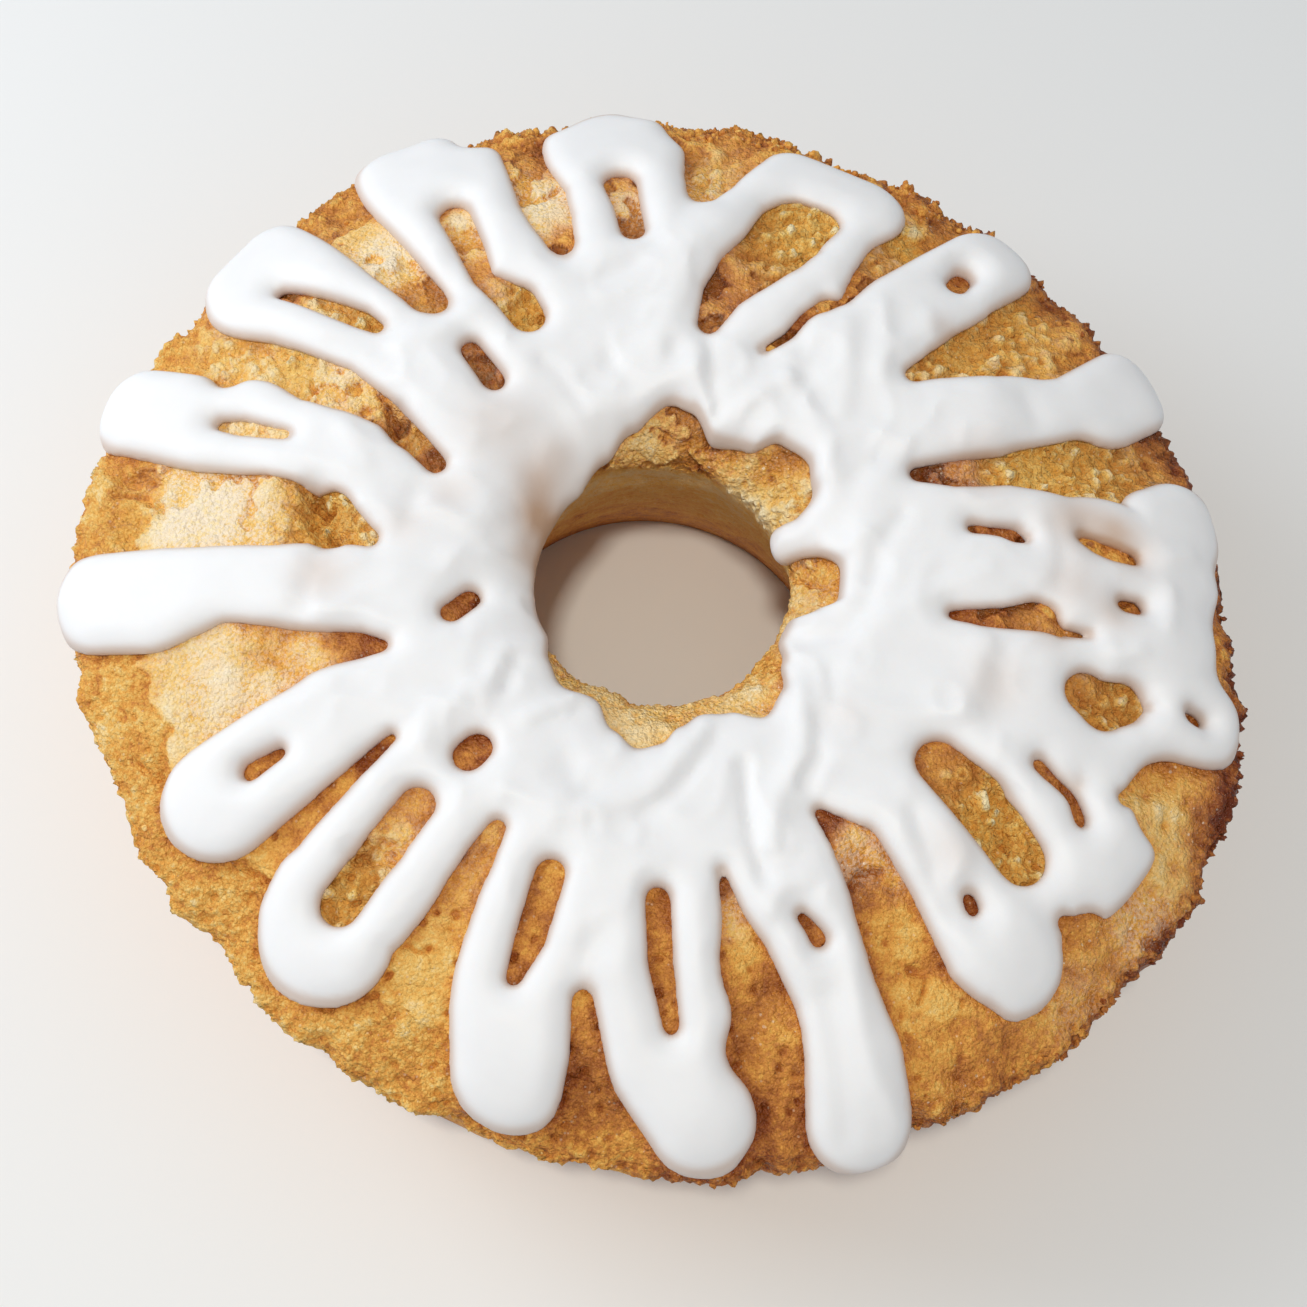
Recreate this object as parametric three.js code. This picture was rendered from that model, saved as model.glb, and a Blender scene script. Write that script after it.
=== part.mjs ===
// An iced ring cake, baked in a plain tube pan: one cake with a hole through it, and one
// skin of white sugar icing that pooled on its top and ran out to the rim in fingers.
//
// Millimetres, +Z up. The origin is on the table under the middle of the cake.
// Angles are in degrees round +Z: 0 is +X (right), 90 is +Y (the far side).
//
// The crust is one sheet of rings, from the foot of the hole wall, over the domed top, to the
// foot of the outer wall. `along` is the distance along that sheet: it equals the radius at
// the lip of the hole and at the rim, and runs on down both walls.

import * as THREE from 'three';

// ---------- the cake ----------
const RIM_RADIUS = 112;
const RIM_HEIGHT = 53.3;
const BASE_RADIUS = 104.5;
const BASE_ROUND = { height: 5, inward: 3 };
const CREST_RADIUS = 58;
const CREST_HEIGHT = 67;
const OUTER_SLOPE = 2.1;
const INNER_SLOPE = 4.3;
const LIP_RADIUS = 24.2;
const LIP_HEIGHT = 57.5;
const HOLE_BASE_RADIUS = 39.3;
const HOLE_SHIFT = [-1.2, 2.2];
const CORNER_SOFTNESS = 2.6;

// The baked rim is not quite round: [waves round the rim, cosine part, sine part] in mm.
const RIM_WAVES = [[2, 1.7, -2.6], [3, -0.4, -0.7], [4, 0.6, -0.5], [5, 0, -0.45]];
// The pan kept the foot of the wall rounder: the share of those waves that is left there.
const FOOT_WAVES = 0.35;

// Crust relief: broad swells, crags, and the frayed edge that stood against the pan.
const SWELL = { span: 23, height: 1.3 };
const CRAG = { span: 8.5, height: 0.75 };
const FRAY = { span: 6.4, outward: 1.5, upward: 1.8, reach: 4.5 };
// Under the icing the crust is smoother; the change takes place across the icing's edge.
const BURIED = { relief: 0.3, blend: 4 };
// The relief dies out above the flat base.
const BASE_CALM = { start: 3, length: 12 };

// Torn places: stations of [radius, angle, half width] along the tear, and its depth.
const TEAR_SLOPE = 3;
const TEARS = [
  { depth: 3.4, path: [[69, 175, 2.6], [66, 180, 2.8], [64, 184.5, 2.2]] },
  { depth: 2.6, path: [[61, 156.5, 2], [58, 161, 2]] },
  { depth: 2, path: [[83, 325.5, 2.6], [76, 331.5, 2.4]] },
  { depth: 1.6, path: [[79, 232, 2], [75, 237, 2]] },
  { depth: 1.8, path: [[107, 176.5, 2], [101, 177, 1.6]] },
];

// ---------- the icing ----------
const ICING_DEPTH = 3.4;
const TIP_EXTRA = { depth: 1.1, reach: 11 };
const FOLD = { span: 12, stretch: 2.4, height: 0.45 };
const EDGE_ROLL = 5.6;
const THINNEST = 0.8;
const UNDER_GAP = 0.3;
const POOL_RADIUS = 70;
const FILLET = { join: 5, inner: 3, patch: 2 };

// Fingers: stations of [radius, angle, half width] from the pool out to the tip.
const FINGERS = [
  [[58, 40, 11], [75, 37, 9.4], [90, 33.6, 7.4], [104.5, 33.7, 10.3]],
  [[58, 60, 11], [80, 57.5, 9.8], [99, 55.3, 9.8]],
  [[66, 74, 5], [78, 70.8, 5], [97, 72.3, 7.8], [97.5, 80.5, 7.6], [88, 86.6, 4.8], [74, 92, 8]],
  [[70, 103, 12], [90, 103, 12.3], [101.5, 100.7, 10.3], [101.5, 107, 10.3], [90, 103, 12.3]],
  [[70, 125, 11], [88, 125.8, 12.3], [105.5, 121.8, 10.2], [106.5, 128.3, 10.2], [88, 125.8, 12.3]],
  [[64, 147, 9.5], [88, 147.4, 11.5], [105.5, 145.3, 10.8], [105, 150, 10.5], [88, 147.4, 11.5]],
  [[58, 167, 7.5], [80, 167.3, 8.8], [95, 168, 10.3], [110, 168, 10]],
  [[58, 194, 10], [72, 191, 8.3], [84, 189.8, 7.9], [96, 190.8, 10.6], [106.3, 189.8, 10.8]],
  [[56, 213, 9], [75, 214.9, 10.2], [93, 216.5, 11.8]],
  [[56, 233, 11], [75, 235, 13], [84, 235.3, 13], [89.5, 232.8, 10], [94.5, 238.2, 10.2]],
  [[56, 257, 12], [80, 258.2, 12.2], [95.7, 260.3, 11.5]],
  [[56, 276, 13], [78, 275.8, 11.8], [90, 277.3, 11.2], [101, 280.8, 9.4]],
  [[56, 296, 10], [72, 297.5, 9], [85, 298, 7.5], [96, 297.6, 8.8], [106.5, 296.6, 9.8]],
  [[56, 322, 12], [80, 318.8, 10], [94.5, 317.6, 10.8]],
  [[58, 333, 14], [80, 332, 12], [94.5, 329.6, 9.5], [95, 336, 9.8]],
  [[58, 350, 16], [85, 348, 11.5], [94, 346, 10], [103.8, 353.3, 9.8]],
  [[58, 2, 15], [80, 4, 13], [96, 1.5, 12.5]],
  [[58, 16, 11], [80, 14, 11.5], [99, 10, 12], [101.5, 16.5, 10.5]],
];

// One short tongue runs from the pool down over the lip of the hole.
const TONGUE = [[38, 30.5, 6], [27.5, 30.2, 3.9]];

// Bare gaps between fingers, from the inner end out past the rim.
const GAPS = [
  [[53.5, 31.6, 1.6], [60, 28.6, 2.7], [70, 26.8, 3.2], [82, 24.7, 5.6], [90, 23.8, 7],
    [101, 24.2, 3.9], [120, 24.5, 5]],
  [[65.5, 48.8, 1.6], [72, 47.6, 3.4], [82, 45.5, 6], [92, 43.8, 9], [120, 45, 10]],
  [[70, 66.8, 1], [76, 65.9, 2.2], [90, 64.6, 4.2], [99, 63.6, 4.6], [120, 64, 8]],
  [[86.8, 93.2, 2], [92, 91.8, 3.8], [102, 90.5, 7], [120, 90.5, 16]],
  [[74.5, 113.2, 1.5], [82, 114.2, 4], [94, 114.8, 4], [104, 114.6, 2.9], [120, 114, 8]],
  [[75, 137.6, 2.2], [85, 137, 3.8], [98, 137, 4.8], [120, 136, 9.5]],
  [[50.5, 162.6, 2], [56, 160.5, 2.7], [63, 158, 3], [75, 157.8, 4.2], [92, 158.2, 4.8],
    [120, 157.8, 11]],
  [[57.5, 182, 1.6], [66, 179, 5.4], [78, 179, 6.6], [120, 179, 10.5]],
  [[57, 205, 1.3], [64, 203.2, 2.8], [72, 202, 5.2], [82, 202, 8.2], [98, 203.5, 10.5],
    [120, 203.2, 18]],
  [[62.5, 222, 0.9], [76, 224, 1.1], [90, 225.2, 1.2], [97, 226, 3.8], [120, 226.5, 9]],
  [[60.5, 246, 1.3], [70, 246.2, 2.5], [80, 247.2, 3.1], [100, 248.2, 7.6], [120, 248.3, 12]],
  [[83.5, 267.3, 1.3], [92, 268.6, 3], [101, 269.6, 5.3], [120, 270.3, 12]],
  [[60, 286.5, 0.9], [67, 287.1, 2], [75, 287.7, 4.4], [90, 288.7, 6], [106, 288.3, 4],
    [120, 287, 7]],
  [[55, 307.2, 1.3], [64, 309, 4], [76, 308.8, 5.4], [92, 307.2, 6], [104, 308, 9.5],
    [120, 308, 13]],
  [[98.5, 324.5, 1.6], [120, 324.5, 12]],
  [[97, 341, 1.6], [108, 341, 10], [122, 341, 16]],
];

// Windows of bare crust inside the icing, where two runs of a drizzle closed round a spot.
// Those narrower than the rings of points can show are left out.
const WINDOWS = [
  [[54, 88.6, 2.5], [65, 85, 5.1], [75, 80.8, 6.8], [83, 79, 7.3]],
  [[75.5, 103.3, 2.4], [87.5, 102.9, 3.6]],
  [[61, 124.5, 3.8], [65, 124.7, 4.2], [73, 127.2, 2], [81, 126.2, 2.6], [93, 125.2, 3.4]],
  [[53, 138.9, 1.9], [60.5, 137.4, 2.3]],
  [[76, 146.2, 1.5], [86, 147.1, 2.4], [99.5, 148.6, 1.2]],
  [[38.5, 197.4, 2], [42, 200.6, 2.2]],
  [[65.5, 233.7, 3.4], [76, 234.6, 3.9], [87, 235.2, 4.1]],
  [[50.5, 233.6, 3.2], [52.5, 233.6, 3.3]],
  [[63, 258.4, 2.6], [75, 258.7, 2.8], [82.5, 258.2, 1.6]],
  [[64, 275, 2], [75, 276.3, 2.5], [86, 277.9, 1.6]],
  [[63, 330.2, 4.2], [72, 329.3, 5.2], [84.5, 327.3, 4.4]],
  [[81.6, 351.8, 3.4], [86.5, 350.8, 4.5], [90.3, 351.4, 3.4]],
  [[55.5, 0, 1.6], [66, 1.5, 3.2], [77, 359.8, 1]],
];

// Where the pool stops short of the hole: [angle, radius].
const POOL_EDGE = [
  [0, 33], [12, 33], [21, 29.5], [42, 33.5], [50, 36.3], [60, 35.5], [67, 31.5], [80, 30.2],
  [90, 35.3], [96, 36.3], [110, 31.3], [122, 28], [140, 25.5], [170, 25], [215, 25.3],
  [226, 27.5], [236, 29.3], [250, 28], [260, 33], [268, 35.5], [275, 34], [281, 30.3],
  [290, 28], [300, 29], [310, 33.3], [320, 31], [329, 27.5], [339, 24.5], [350, 24.5],
  [355, 28.5], [360, 33],
];

// ---------- rings of points ----------
const FEW = 82;
const MANY = 2 * FEW;
const HOLE_FOOT = LIP_RADIUS - LIP_HEIGHT;
const WALL_FOOT = RIM_RADIUS + RIM_HEIGHT;
const RINGS = [
  ...[HOLE_FOOT, -20, -5, 9, 15, 20, 24, 27.5, 31.5, 36, 42, 49].map((along) => [along, FEW]),
  ...[57, 65, 73, 81, 88, 95, 101, 106.5, 110.5, 113.5, 118].map((along) => [along, MANY]),
  ...[125, 140, 155, WALL_FOOT - BASE_ROUND.height / 2, WALL_FOOT].map((along) => [along, FEW]),
];
const CROSSING_MARGIN = 0.16;

const radians = (degrees) => degrees * Math.PI / 180;
const mix = (from, to, share) => from + (to - from) * share;
const clamp = (value, low, high) => Math.min(Math.max(value, low), high);
const smooth = (share) => share * share * (3 - 2 * share);

// ---------- seeded noise ----------
function latticeValue(column, row, seed) {
  const wave = Math.sin(column * 127.1 + row * 311.7 + seed * 74.7) * 43758.5453;
  return 2 * (wave - Math.floor(wave)) - 1;
}

function noise(x, y, seed) {
  const column = Math.floor(x);
  const row = Math.floor(y);
  const across = smooth(x - column);
  const up = smooth(y - row);
  const near = mix(latticeValue(column, row, seed), latticeValue(column + 1, row, seed), across);
  const far = mix(
    latticeValue(column, row + 1, seed), latticeValue(column + 1, row + 1, seed), across);
  return mix(near, far, up);
}

// ---------- distances in plan ----------
function polar([radius, angle]) {
  return [radius * Math.cos(radians(angle)), radius * Math.sin(radians(angle))];
}

// Distance from a point to the edge of a tapering path, negative inside it.
function pathDistance(x, y, path) {
  let nearest = Infinity;
  for (let i = 0; i + 1 < path.length; i += 1) {
    const [fromX, fromY] = polar(path[i]);
    const [toX, toY] = polar(path[i + 1]);
    const runX = toX - fromX;
    const runY = toY - fromY;
    const dot = (x - fromX) * runX + (y - fromY) * runY;
    const share = clamp(dot / (runX * runX + runY * runY), 0, 1);
    const gap = Math.hypot(x - fromX - share * runX, y - fromY - share * runY);
    nearest = Math.min(nearest, gap - mix(path[i][2], path[i + 1][2], share));
  }
  return nearest;
}

function join(a, b, fillet) {
  const blend = Math.max(fillet - Math.abs(a - b), 0) / fillet;
  return Math.min(a, b) - blend * blend * fillet / 4;
}

function cutAway(body, cutter, fillet) {
  return -join(-body, cutter, fillet);
}

function poolEdge(angle) {
  const next = POOL_EDGE.findIndex(([stop]) => stop > angle);
  const [fromAngle, fromRadius] = POOL_EDGE[next - 1];
  const [toAngle, toRadius] = POOL_EDGE[next];
  return mix(fromRadius, toRadius, smooth((angle - fromAngle) / (toAngle - fromAngle)));
}

// Distance to the edge of the icing in plan, negative where there is icing.
function icingEdge(x, y) {
  const radius = Math.hypot(x, y);
  const angle = (Math.atan2(y, x) * 180 / Math.PI + 360) % 360;
  let edge = radius - POOL_RADIUS;
  for (const finger of FINGERS) edge = join(edge, pathDistance(x, y, finger), FILLET.join);
  edge = cutAway(edge, radius - poolEdge(angle), FILLET.inner);
  edge = join(edge, pathDistance(x, y, TONGUE), FILLET.inner);
  for (const bare of [...GAPS, ...WINDOWS]) {
    edge = cutAway(edge, pathDistance(x, y, bare), FILLET.patch);
  }
  return edge;
}

function icingDepth(x, y, edge) {
  const roll = clamp(-edge / EDGE_ROLL, 0, 1);
  const radius = Math.hypot(x, y);
  const round = Math.atan2(y, x) * CREST_RADIUS;
  const folds = noise(radius / FOLD.span, round / FOLD.span / FOLD.stretch, 5);
  let depth = ICING_DEPTH + FOLD.height * folds;
  for (const finger of FINGERS) {
    const [tipX, tipY] = polar(finger[finger.length - 1]);
    const away = Math.hypot(x - tipX, y - tipY) / TIP_EXTRA.reach;
    depth += TIP_EXTRA.depth * Math.exp(-away * away);
  }
  return Math.max(depth * Math.sqrt(1 - (1 - roll) ** 2), THINNEST);
}

// ---------- the crust ----------
function rimRadius(angle) {
  const turn = radians(angle);
  return RIM_WAVES.reduce(
    (radius, [waves, cosine, sine]) =>
      radius + cosine * Math.cos(waves * turn) + sine * Math.sin(waves * turn), RIM_RADIUS);
}

function domeHeight(radius) {
  if (radius > CREST_RADIUS) {
    const share = (radius - CREST_RADIUS) / (RIM_RADIUS - CREST_RADIUS);
    return CREST_HEIGHT - (CREST_HEIGHT - RIM_HEIGHT) * share ** OUTER_SLOPE;
  }
  const share = (CREST_RADIUS - radius) / (CREST_RADIUS - LIP_RADIUS);
  return CREST_HEIGHT - (CREST_HEIGHT - LIP_HEIGHT) * share ** INNER_SLOPE;
}

// The section with sharp corners at the lip and the rim: [radius, height].
function sharpSection(along) {
  if (along < LIP_RADIUS) {
    const down = LIP_RADIUS - along;
    return [LIP_RADIUS + (HOLE_BASE_RADIUS - LIP_RADIUS) * down / LIP_HEIGHT, LIP_HEIGHT - down];
  }
  if (along > RIM_RADIUS) {
    const down = along - RIM_RADIUS;
    const height = RIM_HEIGHT - down;
    const foot = clamp(1 - height / BASE_ROUND.height, 0, 1);
    const tuck = BASE_ROUND.inward * (1 - Math.sqrt(1 - foot * foot));
    return [RIM_RADIUS - (RIM_RADIUS - BASE_RADIUS) * down / RIM_HEIGHT - tuck, height];
  }
  return [along, domeHeight(along)];
}

// The same section with both corners softened.
function section(along) {
  const [radius, height] = sharpSection(along);
  if (along < LIP_RADIUS - 2 * CORNER_SOFTNESS || along > RIM_RADIUS + 2 * CORNER_SOFTNESS) {
    return [radius, height];
  }
  const before = sharpSection(along - CORNER_SOFTNESS);
  const after = sharpSection(along + CORNER_SOFTNESS);
  return [
    (before[0] + 2 * radius + after[0]) / 4,
    (before[1] + 2 * height + after[1]) / 4,
  ];
}

// Outward normal of the section, as [radial, upward].
function sectionNormal(along) {
  const [radiusBefore, heightBefore] = section(along - 1);
  const [radiusAfter, heightAfter] = section(along + 1);
  const run = radiusAfter - radiusBefore;
  const rise = heightAfter - heightBefore;
  const length = Math.hypot(run, rise);
  return [-rise / length, run / length];
}

// One point of the crust: where it is, which way is out, and how the icing lies on it.
function crustPoint(along, angle) {
  const [radius, height] = section(along);
  const [radial, upward] = sectionNormal(along);
  const turn = radians(angle);
  const share = clamp((along - LIP_RADIUS) / (RIM_RADIUS - LIP_RADIUS), 0, 1);
  const down = clamp((along - RIM_RADIUS) / RIM_HEIGHT, 0, 1);
  const wave = share * (rimRadius(angle) - RIM_RADIUS);
  const stretched = radius + wave * mix(1, FOOT_WAVES, down);
  const planRadius = Math.max(along + wave, 1);
  const [shiftX, shiftY] = HOLE_SHIFT.map((shift) => shift * (1 - share));
  const planX = planRadius * Math.cos(turn) + shiftX;
  const planY = planRadius * Math.sin(turn) + shiftY;
  const edge = icingEdge(planX, planY);

  const shown = mix(BURIED.relief, 1, smooth(clamp(edge / BURIED.blend + 0.5, 0, 1)));
  const aboveBase = Math.min(along - HOLE_FOOT, WALL_FOOT - along);
  const lively = smooth(clamp((aboveBase - BASE_CALM.start) / BASE_CALM.length, 0, 1));
  let relief = SWELL.height * noise(planX / SWELL.span, planY / SWELL.span, 1);
  relief += CRAG.height * noise(planX / CRAG.span, planY / CRAG.span, 2);
  for (const { depth, path } of TEARS) {
    relief -= depth * smooth(clamp(0.5 - pathDistance(planX, planY, path) / TEAR_SLOPE, 0, 1));
  }
  relief *= shown * lively;

  const fray = shown * Math.exp(-(((along - RIM_RADIUS) / FRAY.reach) ** 2));
  const rimX = RIM_RADIUS * Math.cos(turn) / FRAY.span;
  const rimY = RIM_RADIUS * Math.sin(turn) / FRAY.span;
  const outward = stretched + radial * relief + fray * FRAY.outward * noise(rimX, rimY, 3);
  const level = height + upward * relief + fray * FRAY.upward * noise(rimX, rimY, 4);
  return {
    spot: new THREE.Vector3(
      outward * Math.cos(turn) + shiftX, outward * Math.sin(turn) + shiftY, level),
    out: new THREE.Vector3(radial * Math.cos(turn), radial * Math.sin(turn), upward),
    edge,
    depth: icingDepth(planX, planY, edge),
  };
}

// Triangles between two neighbouring rings, which may differ by a factor of two in points.
function bandTriangles(low, lowCount, high, highCount) {
  const triangles = [];
  const steps = Math.max(lowCount, highCount);
  const lowStep = steps / lowCount;
  const highStep = steps / highCount;
  for (let step = 0; step < steps; step += 1) {
    const lowHere = low + Math.floor((step + (lowStep - 1)) / lowStep) % lowCount;
    const lowNext = low + Math.floor((step + lowStep) / lowStep) % lowCount;
    const highHere = high + Math.floor((step + (highStep - 1)) / highStep) % highCount;
    const highNext = high + Math.floor((step + highStep) / highStep) % highCount;
    if (lowHere !== lowNext) triangles.push([lowHere, highHere, lowNext]);
    if (highHere !== highNext) triangles.push([lowNext, highHere, highNext]);
  }
  return triangles;
}

function makeCrust() {
  const points = [];
  const starts = [];
  for (const [along, count] of RINGS) {
    starts.push(points.length);
    for (let i = 0; i < count; i += 1) points.push(crustPoint(along, 360 * i / count));
  }
  const triangles = [];
  for (let i = 0; i + 1 < RINGS.length; i += 1) {
    triangles.push(...bandTriangles(starts[i], RINGS[i][1], starts[i + 1], RINGS[i + 1][1]));
  }
  return { points, starts, triangles };
}

function meshOf(name, spots, triangles, look) {
  const geometry = new THREE.BufferGeometry();
  geometry.setAttribute('position', new THREE.Float32BufferAttribute(
    spots.flatMap((spot) => [spot.x, spot.y, spot.z]), 3));
  geometry.setIndex(triangles.flat());
  geometry.computeVertexNormals();
  const mesh = new THREE.Mesh(geometry, new THREE.MeshStandardMaterial(look));
  mesh.name = name;
  return mesh;
}

// The cake is the crust closed by its flat base.
function makeCake(crust) {
  const last = RINGS.length - 1;
  const base = bandTriangles(crust.starts[last], FEW, crust.starts[0], FEW);
  return meshOf('cake', crust.points.map(({ spot }) => spot), [...crust.triangles, ...base],
    { color: 0xd9a860, roughness: 0.75, metalness: 0 });
}

// The icing covers each crust triangle, or the part of it, that lies inside the icing's edge.
// Its top and its underside share the points along that edge.
function makeIcing(crust) {
  const spots = [];
  const known = new Map();
  const remember = (key, make) => {
    if (!known.has(key)) {
      known.set(key, spots.length);
      spots.push(make());
    }
    return known.get(key);
  };
  const lifted = (point, height) => point.spot.clone().addScaledVector(point.out, height);
  const top = (index) => remember(`top ${index}`, () =>
    lifted(crust.points[index], UNDER_GAP + crust.points[index].depth));
  const under = (index) => remember(`under ${index}`, () =>
    lifted(crust.points[index], UNDER_GAP));
  const crossing = (a, b) => remember(`edge ${Math.min(a, b)} ${Math.max(a, b)}`, () => {
    const [first, second] = [crust.points[Math.min(a, b)], crust.points[Math.max(a, b)]];
    const share = clamp(
      first.edge / (first.edge - second.edge), CROSSING_MARGIN, 1 - CROSSING_MARGIN);
    return lifted(first, UNDER_GAP).lerp(lifted(second, UNDER_GAP), share);
  });

  const triangles = [];
  for (const corners of crust.triangles) {
    const outline = [];
    corners.forEach((corner, i) => {
      const next = corners[(i + 1) % 3];
      const iced = crust.points[corner].edge < 0;
      if (iced) outline.push([top(corner), under(corner)]);
      if (iced !== crust.points[next].edge < 0) {
        const shared = crossing(corner, next);
        outline.push([shared, shared]);
      }
    });
    for (let i = 1; i + 1 < outline.length; i += 1) {
      const fan = [outline[0], outline[i], outline[i + 1]];
      triangles.push(fan.map(([above]) => above));
      triangles.push(fan.map(([, below]) => below).reverse());
    }
  }
  return meshOf('icing', spots, triangles, { color: 0xf6f5f3, roughness: 0.32, metalness: 0 });
}

const crust = makeCrust();
const group = new THREE.Group();
group.add(makeCake(crust));
group.add(makeIcing(crust));

export default group;
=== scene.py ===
# %% [markdown]
# # An iced ring cake
# The real thing is a butter cake baked in a plain tube pan, turned over, and covered with a
# thick sugar icing that was spooned round the hole and ran out to the rim in fingers.
# Two materials make it: a baked crust, and a set sugar paste. Everything below is worked out
# in millimetres, in plan, and turned into metres only when a mesh is made.

import bmesh
import bpy
import numpy as np
from mathutils import Matrix, Vector


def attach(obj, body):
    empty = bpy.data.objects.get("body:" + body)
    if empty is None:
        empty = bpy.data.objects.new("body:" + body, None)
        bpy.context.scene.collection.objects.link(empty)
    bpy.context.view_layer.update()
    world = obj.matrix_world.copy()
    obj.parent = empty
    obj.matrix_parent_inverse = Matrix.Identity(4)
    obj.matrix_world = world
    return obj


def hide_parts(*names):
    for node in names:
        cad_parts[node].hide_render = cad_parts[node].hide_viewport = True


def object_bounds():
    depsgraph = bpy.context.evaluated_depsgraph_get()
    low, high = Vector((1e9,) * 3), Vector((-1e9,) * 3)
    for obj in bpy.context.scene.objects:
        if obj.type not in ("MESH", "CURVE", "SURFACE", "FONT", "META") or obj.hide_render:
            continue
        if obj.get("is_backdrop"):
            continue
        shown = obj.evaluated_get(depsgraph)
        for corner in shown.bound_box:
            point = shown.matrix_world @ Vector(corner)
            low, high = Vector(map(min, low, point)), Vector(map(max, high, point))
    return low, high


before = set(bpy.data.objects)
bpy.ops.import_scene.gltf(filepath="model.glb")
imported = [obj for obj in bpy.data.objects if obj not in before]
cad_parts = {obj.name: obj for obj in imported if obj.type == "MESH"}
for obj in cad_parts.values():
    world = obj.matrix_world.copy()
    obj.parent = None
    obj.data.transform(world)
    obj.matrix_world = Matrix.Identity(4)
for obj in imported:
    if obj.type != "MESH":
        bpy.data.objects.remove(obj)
cad_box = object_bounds()
print("frame box in metres:", [round(side, 4) for side in cad_box[1] - cad_box[0]])

# %% [markdown]
# ## Small tools
# Numpy arrays hold all points at once, so a whole surface is one formula. Four little functions
# carry most of the work: a mix, a clamp, an S-curve and a bell curve.

# %% Helpers for arrays
METRES = 0.001


def mix(start, end, share):
    return start + (end - start) * share


def limit(values):
    return np.clip(values, 0, 1)


def smooth(share):
    share = limit(share)
    return share * share * (3 - 2 * share)


def bell(distance, width):
    """1 at no distance, falling off to nearly 0 at twice the width."""
    return np.exp(-((distance / width) ** 2))


# %% [markdown]
# ## Chance, but the same chance every time
# Crust is uneven in a natural way, and yet the script must give the same cake on each run.
# Noise from a formula does that. `noise` is flat noise for the broad shape. `grain` is the
# same idea in space, so that it doesn't smear down the side of the cake. `lumps` scatters one
# round crumb in every cell of a grid, which is how a crumbly surface really is built.

# %% Seeded noise
# Large multipliers, which throw the numbers of neighbouring cells far apart.
FLAT_MIX = (127.1, 311.7, 74.7)
FLAT_SPREAD = 43758.5453
CELL_MIX = (73856093, 19349663, 83492791)
SEED_MIX = 2654435761
LAST_MIX = 1274126177
LOW_BITS = 0xFFFFFFFF

# A tilt of the grid, so that its rows never line up with the cake.
TILT = np.array([[0.8, 0.36, -0.48], [-0.6, 0.48, -0.64], [0, 0.8, 0.6]])

# How far a lump strays from the middle of its cell, and its smallest share of width and height.
STRAY = 0.7
NARROWEST = 0.55
LOWEST = 0.5


def lattice(column, row, seed):
    wave = column * FLAT_MIX[0] + row * FLAT_MIX[1] + seed * FLAT_MIX[2]
    wave = np.sin(wave) * FLAT_SPREAD
    return 2 * (wave - np.floor(wave)) - 1


def noise(x, y, seed):
    column, row = np.floor(x), np.floor(y)
    across, up = smooth(x - column), smooth(y - row)
    near = mix(lattice(column, row, seed), lattice(column + 1, row, seed), across)
    far = mix(lattice(column, row + 1, seed), lattice(column + 1, row + 1, seed), across)
    return mix(near, far, up)


def wavering(x, y, *waves):
    """A sum of flat noises, each given as its height, span and seed."""
    return sum(height * noise(x / span, y / span, seed) for height, span, seed in waves)


def chance(cell, seed):
    """A number from 0 to 1 for each whole-numbered cell, as a row of x, y, z."""
    mixed = np.bitwise_xor.reduce(cell * CELL_MIX, axis=1) ^ seed * SEED_MIX
    mixed = (mixed ^ mixed >> 13) * LAST_MIX
    return (mixed ^ mixed >> 16 & LOW_BITS) % 65536 / 65535


def grain(spots, span, seed):
    """Noise from -1 to 1 in space, with one swing about every span."""
    turned = spots @ TILT / span
    cell = np.floor(turned).astype(np.int64)
    share = smooth(turned - cell)
    total = np.zeros(len(spots))
    for corner in np.ndindex(2, 2, 2):
        weight = np.prod(np.where(corner, share, 1 - share), axis=1)
        total += weight * chance(cell + corner, seed)
    return 2 * total - 1


def lumps(spots, span, seed, fullness):
    """Round domes, 1 at the top and 0 between them, one in each cell of that span."""
    scaled = spots / span
    cell = np.floor(scaled).astype(np.int64)
    highest = np.zeros(len(spots))
    for step in np.ndindex(3, 3, 3):
        here = cell + step - 1
        middle = here + 0.5
        for axis in range(3):
            middle[:, axis] += STRAY * (chance(here, seed + axis + 1) - 0.5)
        size = fullness * mix(NARROWEST, 1, chance(here, seed + 4))
        away = np.sum((scaled - middle) ** 2, axis=1) / size**2
        highest = np.maximum(highest, limit(1 - away) * mix(LOWEST, 1, chance(here, seed + 5)))
    return highest


def swells(spots, waves):
    """A sum of noises in space, each given as its height, span and seed."""
    return sum(height * grain(spots, span, seed) for height, span, seed in waves)


# %% [markdown]
# ## The sizes of the cake
# These are the sizes of the solid model, named again: a rim 224 mm across, a domed top 67 mm
# high, a hole 48 mm wide at the top and 79 mm at the foot, as a tube pan makes it.

# %% Driving sizes
RIM_RADIUS = 112
RIM_HEIGHT = 53.3
BASE_RADIUS = 104.5
BASE_ROUND = {"height": 5, "inward": 3}
CREST_RADIUS = 58
CREST_HEIGHT = 67
OUTER_SLOPE = 2.1
INNER_SLOPE = 4.3
LIP_RADIUS = 24.2
LIP_HEIGHT = 57.5
HOLE_BASE_RADIUS = 39.3
HOLE_SHIFT = (-1.2, 2.2)
CORNER_SOFTNESS = 2.6
RIM_WAVES = [(2, 1.7, -2.6), (3, -0.4, -0.7), (4, 0.6, -0.5), (5, 0, -0.45)]
FOOT_WAVES = 0.35

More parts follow.
